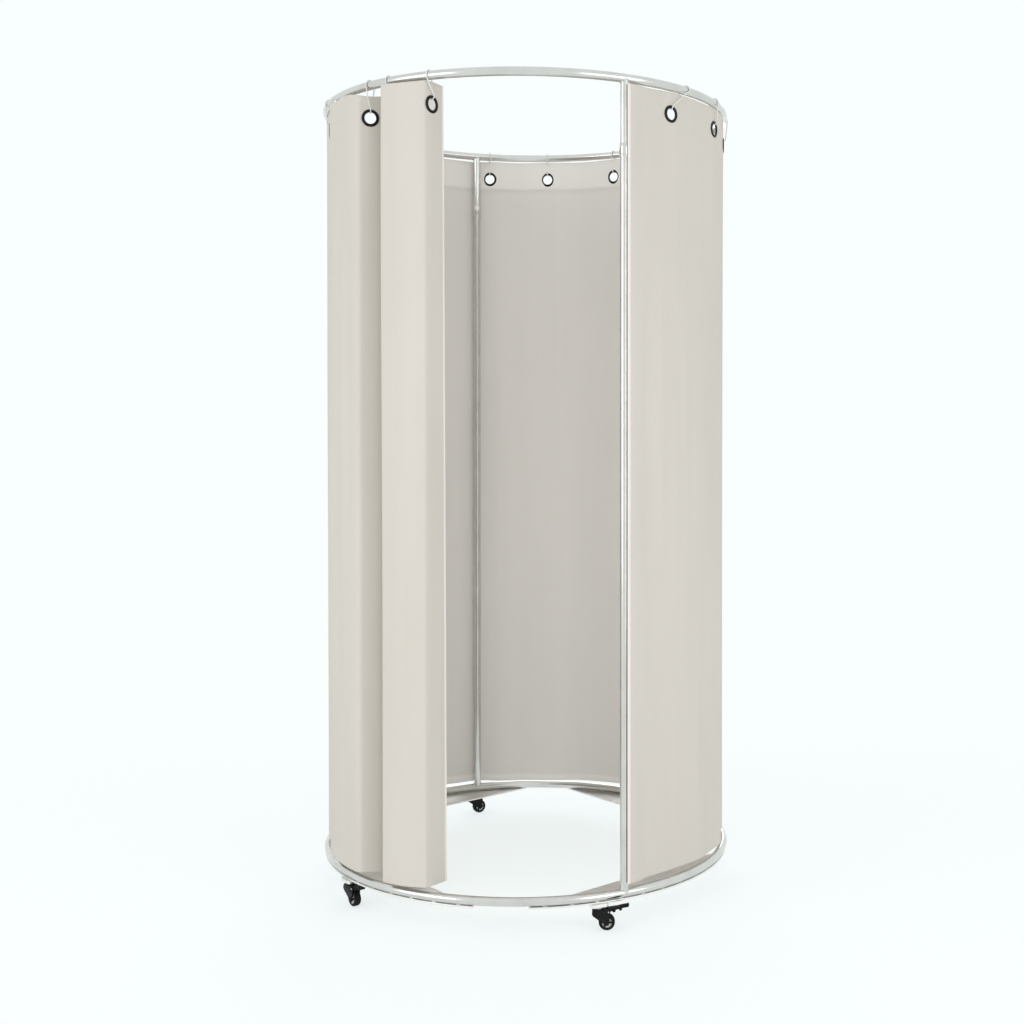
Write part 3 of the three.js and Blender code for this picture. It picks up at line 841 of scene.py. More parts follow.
@dataclass
class RingFrame:
    """The two rings, the four posts with their joint collars and welds, and the corner plates."""

    finishes: Finishes
    patterns: Patterns
    tube_sides: int = 36
    post_sides: int = 40
    joint_z: float = 1.82235
    joint_gap: float = 0.0004
    collar_r: float = 0.0123
    collar_below: float = 0.026
    collar_above: float = 0.006
    collar_lip: float = 0.0007
    collar_groove: Point3 = (0.0045, 0.005, 0.0055)
    bead_r: float = 0.0012
    bead_reach: float = 1.03 * TUBE_R
    bead_least: float = 0.28
    plate_bottom_z: float = 0.0629
    plate_t: float = 0.0036
    plate_r: float = 0.528
    plate_chord: float = 0.413
    plate_turn: float = 12.5
    plate_nose: float = 0.008
    plate_edge: float = 0.0004
    nose_deg: float = 0.8
    tack_off: float = 0.0034
    tack_lift: float = 0.0004
    tack_deg: float = 34.0
    tack_pitch: float = 0.06
    tack_size: Point2 = (0.013, 0.0026)

    def rings(self) -> None:
        """Makes the eight arcs of tube."""
        degs = [-POST_DEGS["front_right"], *POST_DEGS.values()]
        for level, z in (("top", TOP_RING_Z), ("base", BASE_RING_Z)):
            for side, start, end in zip(("front", "right", "rear", "left"), degs, degs[1:]):
                steps = round(end - start)
                path = [place(start + (end - start) * i / steps, RING_R, z) for i in range(steps + 1)]
                name = f"{level}_tube_{side}"
                mesh = self.patterns.bar(name, path, self.finishes.steel, TUBE_R, self.tube_sides)
                seat(assembled(name, [softened(mesh, 50.0)]), "stand", "steel", f"{level}_ring_{side}")

    def tube(self, low: float, high: float) -> Mesh:
        """A length of post tube, on the middle line."""
        side = [(0, low), (TUBE_R, low), (TUBE_R, high), (0, high)]
        return lathe("tube", side, self.post_sides, self.finishes.steel)

    def collar(self) -> Mesh:
        """The grooved collar round a post's joint, on the middle line.

        Returns:
            The mesh.
        """
        low, high = self.joint_z - self.collar_below, self.joint_z + self.collar_above
        out, lip, rim, skin = self.collar_r, self.collar_lip, 0.0002, self.joint_gap
        start, middle, end = (low + groove for groove in self.collar_groove)
        return lathe("collar", [
            (TUBE_R - skin, low + lip), (TUBE_R + rim, low), (out - lip, low), (out - rim, low + rim),
            (out, low + lip), (out, start), (out - 0.0003, middle), (out, end), (out, high - lip),
            (out - rim, high - rim), (out - lip, high), (TUBE_R + rim, high), (TUBE_R - skin, high - lip),
        ], self.post_sides, self.finishes.steel)

    def posts(self) -> None:
        """Makes the long and short length of each post, and the collar on the short one."""
        for corner, deg in POST_DEGS.items():
            at = Matrix.Translation(place(deg, RING_R))
            long_part = self.tube(BASE_RING_Z, self.joint_z - self.joint_gap)
            seat(assembled(f"post_tube_{corner}", [long_part], at), "stand", "steel", f"post_{corner}")
            short_part = [self.tube(self.joint_z, TOP_RING_Z), self.collar()]
            seat(assembled(f"post_joint_{corner}", short_part, at), "stand", "steel", f"post_top_{corner}")

    def welds(self) -> None:
        """Makes the weld bead round each end of each post."""
        beads = []
        reach, least = self.bead_reach, self.bead_least * self.bead_reach
        for deg in POST_DEGS.values():
            along = place(deg + 90.0, 1.0)
            for z, way in ((TOP_RING_Z, -1.0), (BASE_RING_Z, 1.0)):
                path = []
                for turn in (math.radians(5.0 * i) for i in range(72)):
                    radial = reach * math.cos(turn)
                    rise = math.sqrt(max(reach**2 - radial**2, least**2))
                    path.append(place(deg, RING_R + radial, z + way * rise) + reach * math.sin(turn) * along)
                beads.append(self.patterns.bar("bead", path, self.finishes.steel, self.bead_r, closed=True))
        seat(assembled("post_welds", beads), "stand", "steel")

    def plate_outline(self) -> list[Point2]:
        """A corner plate's bow shape, its middle towards +X.

        Returns:
            The points.
        """
        half = math.degrees(math.acos(self.plate_chord / self.plate_r))
        end = half - self.nose_deg
        rim = arc(0.0, 0.0, self.plate_r, -end, end, 90)
        ends = []
        for way, first in ((1.0, Vector(rim[-1])), (-1.0, Vector(rim[0]))):
            corner = Vector((self.plate_chord, self.plate_r * math.sin(math.radians(half)) * way))
            last = corner - Vector((0.0, self.plate_nose * way))
            ends.append([curve(first, corner, last, t / 5) for t in range(1, 6)])
        return rim + ends[0] + list(reversed(ends[1]))

    def plates(self) -> None:
        """Makes the corner plates, and the tack welds that hold them to the base ring."""
        outline, steel = self.plate_outline(), self.finishes.steel
        weld_z, (long, thick) = self.plate_bottom_z + self.plate_t + self.tack_lift, self.tack_size
        for i, corner in enumerate(POST_DEGS):
            deg = POST_DEGS["front_right"] + self.plate_turn + 90.0 * i
            at = Matrix.Translation((0, 0, self.plate_bottom_z + self.plate_t / 2))
            at @= Matrix.Rotation(math.radians(deg - 90.0), 4, "Z")
            plate = cut_plate("plate", [outline], self.plate_t, self.plate_edge, self.finishes.sheet_steel)
            seat(assembled(f"bow_plate_{corner}", [plate], at), "stand", "steel", f"corner_plate_{corner}")
            tacks = []
            for r in (RING_R - self.tack_off, RING_R + self.tack_off):
                row = [place(deg - self.tack_deg + 2.0 * k, r, weld_z) for k in range(35)]
                tacks.append(self.patterns.stitches.run(
                    "tacks", edge_path("tacks", row), steel,
                    Pitch=self.tack_pitch, Length=long, Thickness=thick))
            seat(assembled(f"tack_welds_{corner}", tacks), "stand", "steel")

    def build(self) -> None:
        """Builds the whole frame."""
        self.rings()
        self.posts()
        self.welds()
        self.plates()


# ---- Casters


def across(x: float, z: float, y: float = 0.0, way: float = 1.0) -> Matrix:
    """Lays what stands along Z across a caster, at a place in its side view."""
    return Matrix.Translation((x, y, z)) @ Matrix.Rotation(way * math.pi / 2, 4, "X")


@dataclass
class Caster:
    """One caster, in millimetres from the floor and from its swivel line, trailing along its own X."""

    corner: str
    deg: float
    trail_deg: float
    finishes: Finishes
    patterns: Patterns
    inset: float = 2.0
    pad: Point3 = (30.0, 42.0, 7.4)
    pad_z: float = 55.2
    pad_corner: float = 6.0
    pad_edge: float = 0.7
    bolt_at: Point2 = (10.5, 15.5)
    fillet_r: float = 0.0009
    race_r: float = 12.5
    race_z: float = 50.7
    crown_z: float = 50.4
    crown_t: float = 3.0
    crown_r: float = 14.5
    trail: float = 20.0
    wheel_r: float = 19.0
    wheel_w: float = 17.0
    cheek_y: float = 9.1
    cheek_t: float = 2.4
    cheek_foot_r: float = 6.5
    cheek_ear_r: float = 4.5
    axle_hole_r: float = 3.2
    pin_hole_r: float = 1.9
    bridge_end: float = 17.0
    lobe: Point3 = (-5.0, 40.9, 9.5)
    pivot: Point2 = (24.0, 44.2)
    heel: Point2 = (22.0, 50.6)
    knee: Point2 = (46.0, 54.2)
    tip: Point2 = (71.0, 59.2)
    beads: tuple[Point2, ...] = ((36.7, 46.4), (51.7, 50.6))
    cam: tuple[Point2, ...] = ((-0.6, 3.4), (-0.12, 5.9), (0.0, 6.1), (0.12, 5.9), (0.6, 3.4))
    bead_r: float = 3.8
    arm_t: float = 3.0
    tread_w: float = 20.0
    hub_r: float = 3.5
    pin_r: float = 1.75
    pin_out: float = 0.7
    cam_deg: float = 15.0
    ribs: int = 7
    rib_start: float = 2.4
    rib_pitch: float = 3.4
    rib_inset: float = 1.4
    rib_r: float = 0.55
    spokes: int = 3
    race_steps: int = 40
    crown_steps: int = 48
    wheel_steps: int = 56
    boss_steps: int = 32
    bar_steps: int = 28
    pin_steps: int = 20

    @property
    def base(self) -> Matrix:
        """Where the swivel line meets the floor, in metres."""
        return Matrix.Translation(place(self.deg, RING_R - self.inset / 1000.0))

    @property
    def frame(self) -> Matrix:
        """From the fork's own millimetres to the part's metres."""
        return self.base @ Matrix.Rotation(math.radians(self.trail_deg), 4, "Z") @ Matrix.Scale(0.001, 4)

    @property
    def half(self) -> float:
        """How far the cheeks' outer sides are from the middle."""
        return self.cheek_y + self.cheek_t

    def slab(self, outline: list[list[Point2]], width: float, edge: float, finish: Material,
             y: float = 0.0) -> Mesh:
        """A plate cut to a side view: the outline and each hole as x and z, its middle at y."""
        return moved(cut_plate("side", outline, width, edge, finish), across(0, 0, y))

    def mount(self) -> None:
        """Makes the pad, the ball race under it and the bolts."""
        steel, (length, width, thick) = self.finishes.steel, self.pad
        at = self.base @ Matrix.Rotation(math.radians(self.deg - 90.0), 4, "Z") @ Matrix.Scale(0.001, 4)
        x, y = length / 2, width / 2
        outline = rounded([(-x, -y), (x, -y), (x, y), (-x, y)], self.pad_corner, 6)
        pad = cut_plate("pad", [outline], thick, self.pad_edge, self.finishes.sheet_steel)
        pad.transform(Matrix.Translation((0, 0, self.pad_z + thick / 2)))
        low, high, r = self.race_z, self.pad_z + 1.0, self.race_r
        race = lathe("race", [
            (0, low), (r - 4.0, low), (r - 3.4, low + 0.5), (r - 0.6, low + 0.5), (r, low + 1.1),
            (r, low + 1.9), (r - 0.7, low + 2.3), (r, low + 2.7), (r, high), (0, high),
        ], self.race_steps, steel)
        piece = assembled(f"caster_pad_{self.corner}", [pad, race], at)
        seat(piece, "stand", "steel", f"caster_mount_{self.corner}")
        inner, top = 0.985, self.pad_z + thick + 0.1
        seam = [at @ Vector((x * inner, y * inner, top)) for x, y in [*outline, outline[0]]]
        fillet = self.patterns.bar("fillet", seam, steel, self.fillet_r)
        x, y = self.bolt_at
        spots = [at @ Vector((a, b, self.pad_z)) for a in (-x, x) for b in (-y, y)]
        heads = self.patterns.bolts.run(
            "heads", edge_path("spots", spots), steel, Head=0.0026, Height=0.0011, Washer=0.0034, Way=-1.0)
        seat(assembled(f"pad_fixings_{self.corner}", [fillet, heads]), "stand", "steel")

    def cheek(self) -> list[list[Point2]]:
        """The outline of a cheek and its two holes, as x and z.

        Returns:
            The three loops.
        """
        axle = (self.trail, self.wheel_r)
        outline = arc(*self.lobe, 90, 228, 16) + arc(*axle, self.cheek_foot_r, 215, 320, 12)
        outline += arc(*self.pivot, self.cheek_ear_r, -35, 95, 12) + [(self.trail, self.crown_z)]
        axle_hole = arc(*axle, self.axle_hole_r, 345, 0, 23)
        return [outline, axle_hole, arc(*self.pivot, self.pin_hole_r, 337.5, 0, 15)]

    def fork(self) -> None:
        """Makes the crown, the two open cheeks and the axle."""
        black, half = self.finishes.fork, self.half
        top, thick, r = self.crown_z, self.crown_t, self.crown_r
        crown = lathe("crown", [
            (0, top - thick), (r - 1.2, top - thick), (r - 0.3, top - thick + 0.3), (r, top - thick + 1.0),
            (r, top - 1.2), (r - 0.5, top - 0.4), (r - 1.6, top), (0, top),
        ], self.crown_steps, black)
        start, end = self.lobe[0], self.bridge_end
        strip = rounded([(start, -half), (end, -half), (end, half), (start, half)], 2.0)
        bridge = cut_plate("bridge", [strip], thick, 0.5, black)
        parts = [crown, moved(bridge, Matrix.Translation((0, 0, top - thick / 2)))]
        side = [(3.3, 0), (5.4, 0), (5.6, -0.25), (5.6, -0.9), (3.3, -0.9)]
        for way in (-1.0, 1.0):
            y = way * (self.cheek_y + self.cheek_t / 2)
            parts.append(self.slab(self.cheek(), self.cheek_t, 0.45, black, y))
            boss = lathe("boss", side, self.boss_steps, black)
            parts.append(moved(boss, across(self.trail, self.wheel_r, way * (half + 0.2), -way)))
        body, end = f"fork_{self.corner}", half + 0.3
        piece = assembled(f"caster_body_{self.corner}", parts, self.frame)
        seat(piece, body, "caster_black", f"caster_fork_{self.corner}")
        rivet = lathe("rivet", both_ends([
            (0, end + 1.5), (2.6, end + 1.4), (4.2, end + 0.9), (4.7, end + 0.2), (4.7, end), (3, end),
        ]), self.bar_steps, self.finishes.lever)
        pin = assembled(f"axle_rivet_{self.corner}", [rivet], self.frame @ across(self.trail, self.wheel_r))
        seat(pin, body, "steel", f"caster_axle_{self.corner}")

    def wheel(self) -> None:
        """Makes the tyre and the spoked disc."""
        rubber, r, half = self.finishes.tyre, self.wheel_r, self.wheel_w / 2
        tyre = lathe("tyre", both_ends([
            (11.6, half - 0.5), (12.4, half), (15.6, half), (17.2, half - 0.6), (18.3, half - 1.7),
            (r - 0.1, half - 3.2), (r, half - 5.0),
        ]), self.wheel_steps, rubber)
        disc = lathe("disc", both_ends([
            (3.3, half - 0.6), (4.6, half - 0.6), (4.9, half - 1.0), (4.9, 6.0), (10.2, 5.9), (10.8, 6.3),
            (11.1, half - 0.6), (11.9, half - 0.6),
        ]), self.wheel_steps, self.finishes.disc)
        hub = lathe("hub", both_ends([(3.4, half + 0.1), (4.9, half + 0.1)]), self.boss_steps, rubber)
        ribs = self.patterns.ribs.run(
            "ribs", edge_path("hoop", [Vector((0, 0, 0)), Vector((0, 0, 1))]), rubber,
            Count=self.spokes, Reach=8.0, Length=7.4, Width=4.2, Height=self.wheel_w - 1.0)
        parts = [tyre, disc, hub, softened(ribs, 30.0)]
        piece = assembled(f"wheel_{self.corner}_tyre", parts, self.frame @ across(self.trail, r))
        seat(piece, f"wheel_{self.corner}", "wheel_black", f"caster_wheel_{self.corner}")

    def roller(self, spot: Point2, r: float, half: float, edge: Point2, steps: int, finish: Material) -> Mesh:
        """A bar across the caster at a spot in its side view, with broken ends."""
        profile = both_ends([(0, half), (r - edge[0], half), (r, half - edge[1])])
        return moved(lathe("roller", profile, steps, finish), across(*spot))

    def lever(self) -> None:
        """Makes the brake lever: hub, cam, arm and a ribbed tread."""
        black, half = self.finishes.lever, self.cheek_y - 0.3
        (px, pz), (kx, kz), (tx, tz), t = self.pivot, self.knee, self.tip, self.arm_t
        bottom = [(px - 1.5, pz), (px + 3.5, pz), (kx + t, kz - t), (tx, tz - t)]
        arm = rounded([*bottom, (tx, tz), (kx, kz), self.heel], 1.2)
        run = Vector((tx - kx, tz - kz)).normalized()
        near = Vector((kx + t, kz + t * run.y / run.x))
        tread = rounded([(near.x, near.y - t), (tx, tz - t), (tx, tz), tuple(near)], 0.9)
        turn = math.atan2(self.wheel_r - pz, self.trail - px) + math.radians(self.cam_deg)
        cam = [(px + a * math.cos(turn + b), pz + a * math.sin(turn + b)) for b, a in self.cam]
        parts = [
            self.slab([arm], 2.0 * half, 0.5, black),
            self.slab([tread], self.tread_w, 0.6, black),
            self.slab([[(px, pz), *cam]], 2.0 * half - 0.6, 0.2, black),
            self.roller(self.pivot, self.hub_r, half, (0.4, 0.4), self.bar_steps, black),
            self.roller(self.pivot, self.pin_r, self.half + self.pin_out, (0.25, 0.4), self.pin_steps,
                        self.finishes.steel),
            *(self.roller(at, self.bead_r, half, (0.5, 0.5), self.bar_steps, black) for at in self.beads),
        ]
        reach = self.tread_w / 2 - self.rib_inset
        for spot in (near + run * (self.rib_start + self.rib_pitch * i) for i in range(self.ribs)):
            path = [Vector((spot.x, y, spot.y)) for y in (-reach, reach)]
            parts.append(self.patterns.bar("rib", path, black, self.rib_r, 10))
        piece = assembled(f"brake_lever_{self.corner}", parts, self.frame)
        seat(piece, f"pedal_{self.corner}", "pedal_black", f"caster_pedal_{self.corner}")

    def build(self) -> None:
        """Builds the caster."""
        self.mount()
        self.fork()
        self.wheel()
        self.lever()


# ---- Curtain


def smooth_line(points: np.ndarray, per_span: int) -> np.ndarray:
    """A centripetal Catmull-Rom line through given points.

    Args:
        points: one row for each point, in two or three dimensions.
        per_span: how many steps go between two points.

    Returns:
        The points of the smooth line.
    """
    ends = np.vstack([2 * points[0] - points[1], points, 2 * points[-1] - points[-2]])
    knots = np.concatenate([[0.0], np.cumsum(np.linalg.norm(np.diff(ends, axis=0), axis=1) ** 0.5)])
    made = []
    for i in range(1, len(ends) - 2):
        for t in np.linspace(knots[i], knots[i + 1], per_span, endpoint=False):
            rows = ends[i - 1:i + 3]
            for start, reach in ((i - 1, 1), (i - 1, 2), (i, 1)):
                count = len(rows) - 1
                first = knots[start:start + count, None]
                last = knots[start + reach:start + reach + count, None]
                rows = (last - t) / (last - first) * rows[:-1] + (t - first) / (last - first) * rows[1:]
            made.append(rows[0])
    made.append(points[-1])
    return np.array(made)


def bell(x: np.ndarray, width: float | np.ndarray) -> np.ndarray:
    """A bell curve: 1 at 0 and 0.37 at the width."""
    return np.exp(-((x / width) ** 2))


def wave(s: np.ndarray, length: float, start: float | np.ndarray = 0.0) -> np.ndarray:
    """A sine wave of a length, with its start in radians."""
    return np.sin(math.tau * s / length + start)


def turned(rows: np.ndarray, angle: np.ndarray) -> np.ndarray:
    """Plan vectors turned by angles in radians."""
    left = np.stack([-rows[..., 1], rows[..., 0]], axis=-1)
    return rows * np.cos(angle)[..., None] + left * np.sin(angle)[..., None]


def corners_of(cells: np.ndarray) -> np.ndarray:
    """The grid points that touch marked cells.

    Args:
        cells: which cells of a grid are marked.

    Returns:
        Which of the grid's points are.
    """
    points = np.zeros(np.add(cells.shape, 1), bool)
    for a in (slice(0, -1), slice(1, None)):
        for b in (slice(0, -1), slice(1, None)):
            points[a, b] |= cells
    return points


def spaced(length: float, step: float, close: list[float], edges: list[float]) -> np.ndarray:
    """Places along a side of the cloth: even, closer round eyelets, in pairs at hem edges.

    Args:
        length: the side's length.
        step: the even spacing.
        close: the middle of each closer stretch.
        edges: where a hem ends.

    Returns:
        The places in order.
    """
    half, fine, pair, clear = 0.0221, 0.0034, 0.0003, 0.0016
    made = np.linspace(0.0, length, int(math.ceil(length / step)) + 1)
    for middle in close:
        made = made[(made < middle - half - 0.3 * fine) | (made > middle + half + 0.3 * fine)]
        low, high = max(0.0, middle - half), min(length, middle + half)
        made = np.concatenate([made, np.linspace(low, high, int(round((high - low) / fine)) + 1)])
    for edge in edges:
        made = np.concatenate([made[np.abs(made - edge) > clear], [edge - pair, edge + pair]])
    made = np.unique(np.concatenate([made, [0.0, length]]))
    return made[(made >= 0.0) & (made <= length)]


def bend(middle: Vector, aim: Vector, radius: float, turns: tuple[float, ...]) -> list[Vector]:
    """An upright round bend of wire, at turns in degrees."""
    up = Vector((0, 0, 1))
    return [middle + radius * (aim * math.cos(t) + up * math.sin(t)) for t in map(math.radians, turns)]


@dataclass
class PlanLine:
    """A line in plan that cloth hangs along, measured by its length."""

    points: np.ndarray
    along: np.ndarray = field(init=False)
    normals: np.ndarray = field(init=False)

    def __post_init__(self) -> None:
        """Measures the line and finds its outward normals."""
        steps = np.linalg.norm(np.diff(self.points, axis=0), axis=1)
        self.along = np.concatenate([[0.0], np.cumsum(steps)])
        run = np.gradient(self.points, self.along, axis=0)
        run /= np.linalg.norm(run, axis=1)[:, None]
        self.normals = np.stack([run[:, 1], -run[:, 0]], axis=1)

    @property
    def length(self) -> float:
        """Its whole length."""
        return float(self.along[-1])

    def at(self, s: np.ndarray) -> tuple[np.ndarray, np.ndarray]:
        """Points and unit normals.

        Args:
            s: lengths along the line.

        Returns:
            The points and the normals, one row for each length.
        """
        spots, out = (
            np.stack([np.interp(s, self.along, rows[:, k]) for k in (0, 1)], axis=-1)
            for rows in (self.points, self.normals)
        )
        return spots, out / np.linalg.norm(out, axis=-1, keepdims=True)

    def nearest(self, spot: Vector) -> float:
        """The length at which the line comes nearest to a point."""
        return float(self.along[int(np.argmin(np.linalg.norm(self.points - np.array(spot.xy), axis=1)))])


class Hung(Enum):
    """The two lengths of the curtain."""

    ROUND = "round"
    DOOR = "door"


@dataclass(frozen=True)
class Sewing:
    """How a length is made: its mesh's step, its first edge's hem and how far in that hem's seam is."""

    step: float
    hem: float
    seam: float


SEWN = {Hung.ROUND: Sewing(0.0125, 0.008, 0.0062), Hung.DOOR: Sewing(0.0055, 0.012, 0.0095)}


@dataclass
class Drape:
    """One length of the curtain with its hems, seams, eyelets and wire hooks, measured by the
    length along its plan line and the height. Its corner is the doorway cloth's front corner."""

    which: Hung
    line: PlanLine
    eyelets: list[float]
    finishes: Finishes
    patterns: Patterns
    corner: float = 0.0
    cloth_t: float = 0.0007
    hem_t: float = 0.0007
    header: float = 0.079
    foot_hem: float = 0.0195
    lead_hem: float = 0.012
    # width of the painted highlight band along the doorway length's leading edge
    edge_highlight_width: float = 0.004
    edge_round: float = 0.0006
    edge_least: float = 0.35
    row_step: float = 0.024
    edge_rows: Point3 = (0.0006, 0.004, 0.012)
    top_lift: float = 0.003
    pucker: float = 0.0022
    pucker_wide: Point2 = (0.016, 0.09)
    pucker_fade: float = 0.4
    sag: float = 0.0018
    sag_wide: float = 0.06
    sag_fade: float = 0.22
    foot_wave: float = 0.0018
    post_calm: Point2 = (0.85, 5.0)
    back_at: Point2 = (196.0, 40.0)
    back_drop: float = 0.009
    held_wide: float = 0.055
    held_drop: float = 0.013
    lead_turn: float = 0.16
    cut_r: float = 0.0174
    eyelet_outer: float = 0.0208
    eyelet_hole: float = 0.0137
    eyelet_rise: float = 0.0019
    eyelet_steps: int = 56
    wire_r: float = 0.0015
    wire_sides: int = 12
    wire_steps: int = 5
    foot_half: float = 0.007
    hook_clear: float = 0.0003
    foot_clear: float = 0.0006
    stitch_pitch: float = 0.0042
    stitch_size: Point2 = (0.0031, 0.0007)

    def hang(self, s: np.ndarray, z: np.ndarray) -> tuple[np.ndarray, np.ndarray, np.ndarray]:
        """Where the middle of the cloth hangs.

        Args:
            s: lengths along it.
            z: heights before it sags.

        Returns:
            Points in plan, normals in plan and heights.
        """
        spots, out = self.line.at(s)
        depth = CLOTH_TOP_Z - z
        down, below = depth / CLOTH_DROP, np.clip(EYELET_Z - z, 0.0, None)
        push, gap, (near, spread) = np.zeros_like(s), np.ones_like(s), self.pucker_wide
        for eyelet in self.eyelets:
            off = np.abs(s - eyelet)
            gap = np.minimum(gap, off)
            push += self.pucker * bell(off, near + spread * below) * np.exp(-below / self.pucker_fade)
        over = np.clip((z - EYELET_Z) / (CLOTH_TOP_Z - EYELET_Z), 0.0, 1.0)
        fall = self.sag * (1.0 - bell(gap, self.sag_wide)) * np.exp(-depth / self.sag_fade)
        fall -= self.top_lift * over + self.foot_wave * wave(s, 0.83) * down**6
        if self.which is Hung.ROUND:
            lazy = 0.5 * wave(s, 1.13, 1.3)
            push += (0.0006 + 0.0026 * down) * wave(s, 0.307, 0.7 + lazy + 0.5 * down)
            push += (0.0003 + 0.0013 * down) * wave(s, 0.143, 2.1 + 0.9 * np.sin(2.4 * z))
            degs = np.degrees(np.arctan2(spots[..., 0], -spots[..., 1])) % 360.0
            calm, wide = self.post_calm
            for post in POST_DEGS.values():
                push *= 1.0 - calm * bell(degs - post, wide)
            middle, wide = self.back_at
            fall += self.back_drop * bell(degs - middle, wide) * down**10
            return spots + out * push[..., None], out, z - fall
        push += (0.0003 + 0.0016 * down) * wave(s, 0.21, 0.4 + 0.8 * down)
        push += 0.0009 * np.sin(3.1 * z + 5.0 * s) * np.sin(math.pi * s / self.line.length)
        spots = spots + out * (push * np.clip(s / 0.05, 0.0, 1.0))[..., None]
        fall += self.held_drop * bell(s - self.eyelets[0], self.held_wide) * (1.0 - down) ** 1.5
        turn = self.lead_turn * (1.0 - down) * (s > self.corner)
        middle = self.line.at(np.array([self.corner]))[0][0]
        return middle + turned(spots - middle, turn), turned(out, turn), z - fall

    def at(self, s: float) -> tuple[np.ndarray, np.ndarray, float]:
        """Where an eyelet hangs: its point and normal in plan, and its height."""
        spots, out, heights = self.hang(np.array([s]), np.array([EYELET_Z]))
        return spots[0], out[0], float(heights[0])

    def cloth(self) -> Piece:
        """The cloth: a thin shell with hems and eyelet holes.

        Returns:
            The piece.
        """
        sewn, length = SEWN[self.which], self.line.length
        cols = spaced(length, sewn.step, self.eyelets, [sewn.hem, length - self.lead_hem])
        eyelet_row, foot = CLOTH_TOP_Z - EYELET_Z, CLOTH_DROP - self.foot_hem
        rows = spaced(CLOTH_DROP, self.row_step, [eyelet_row], [self.header, foot])
        edges = [*self.edge_rows, *(CLOTH_DROP - row for row in self.edge_rows[:2])]
        s, z = np.meshgrid(cols, CLOTH_TOP_Z - np.unique(np.concatenate([rows, edges])), indexing="ij")
        mid_s, mid_z = (s[1:, 1:] + s[:-1, :-1]) / 2, (z[1:, 1:] + z[:-1, :-1]) / 2
        kept = np.ones(mid_s.shape, bool)
        for eyelet in self.eyelets:
            kept &= np.hypot(mid_s - eyelet, mid_z - EYELET_Z) > self.cut_r
            hole = ~kept & (np.abs(mid_s - eyelet) < 2.0 * self.cut_r)
            rim = corners_of(hole) & corners_of(kept)
            off_s, off_z = s[rim] - eyelet, z[rim] - EYELET_Z
            pull = self.cut_r / np.hypot(off_s, off_z)
            s[rim], z[rim] = eyelet + off_s * pull, EYELET_Z + off_z * pull
        spots, out, heights = self.hang(s, z)
        depth = CLOTH_TOP_Z - z
        hem = (depth < self.header) | (depth > foot) | (s < sewn.hem) | (s > length - self.lead_hem)
        inwards = np.minimum.reduce([depth, CLOTH_DROP - depth, s, length - s])
        round_off = np.clip(inwards / self.edge_round, self.edge_least, 1.0)
        verts = []
        for lift in (self.cloth_t / 2, -(self.cloth_t / 2 + self.hem_t * hem)):
            side = spots + out * (lift * round_off)[..., None]
            verts.append(np.concatenate([side, heights[..., None]], axis=-1).reshape(-1, 3))
        number = np.arange(s.size).reshape(s.shape)
        a, b, c, d = (number[i, j][kept] for i, j in (
            np.s_[:-1, :-1], np.s_[1:, :-1], np.s_[1:, 1:], np.s_[:-1, 1:]))
        front, back = np.stack([a, d, c, b], 1), np.stack([a, b, c, d], 1) + s.size
        pairs = np.stack([front, np.roll(front, -1, 1)], 2).reshape(-1, 2).tolist()
        sides = dict.fromkeys(map(tuple, pairs))
        walls = np.array([(q, p, p + s.size, q + s.size) for p, q in sides if (q, p) not in sides])
        face_s, face_depth = mid_s[kept], CLOTH_TOP_Z - mid_z[kept]
        # The face of a narrow band at the round length's first edge and at the doorway length's leading edge
        # takes the paler hem finish. The hem there is real; its paler colour is a painted highlight where the
        # folded edge catches light.
        edge_highlight = face_s < sewn.hem if self.which is Hung.ROUND else face_s > length - self.edge_highlight_width
        hemmed = (face_depth < self.header) | (face_depth > foot)
        looks = np.concatenate([2 * edge_highlight, 1 + hemmed, np.zeros(len(walls))])
        used, faces = np.unique(np.concatenate([front, back, walls]), return_inverse=True)
        name = f"cloth_{self.which.value}"
        mesh = raw_mesh(name, np.concatenate(verts)[used].tolist(), [], faces.reshape(-1, 4).tolist())
        for finish in (self.finishes.face, self.finishes.lining, self.finishes.hem):
            mesh.materials.append(finish)
        mesh.polygons.foreach_set("material_index", looks.astype(np.int32))
        corners = np.zeros(len(mesh.loops), np.int32)
        mesh.loops.foreach_get("vertex_index", corners)
        flat = np.stack([s.ravel(), z.ravel()], 1)[used[corners] % s.size]
        mesh.uv_layers.new(name="cloth").data.foreach_set("uv", flat.astype(np.float32).ravel())
        return linked(f"curtain_{self.which.value}_cloth", softened(mesh, 60.0))

    def seams(self) -> Piece:
        """The rows of stitches along the hems, inside and out.

        Returns:
            The piece.
        """
        end, in_by = 0.004, 0.0022
        level = np.linspace(end, self.line.length - end, int(self.line.length / 0.006))
        upright = np.linspace(end, CLOTH_DROP - end, 320)
        depths = (in_by, self.header - in_by, CLOTH_DROP - self.foot_hem + in_by)
        runs = [(level, np.full_like(level, depth)) for depth in depths]
        firsts = (SEWN[self.which].seam, self.line.length - self.lead_hem + in_by)
        runs += [(np.full_like(upright, x), upright) for x in firsts]
        rows, (long, thick) = [], self.stitch_size
        for s, depth in runs:
            spots, out, heights = self.hang(s, CLOTH_TOP_Z - depth)
            for lift in (self.cloth_t / 2, -self.cloth_t / 2 - self.hem_t):
                path = edge_path("row", [Vector((*p, h)) for p, h in zip(spots + out * lift, heights)])
                rows.append(self.patterns.stitches.run(
                    "row", path, self.finishes.thread, Pitch=self.stitch_pitch, Length=long, Thickness=thick))
        return assembled(f"curtain_{self.which.value}_stitches", rows)

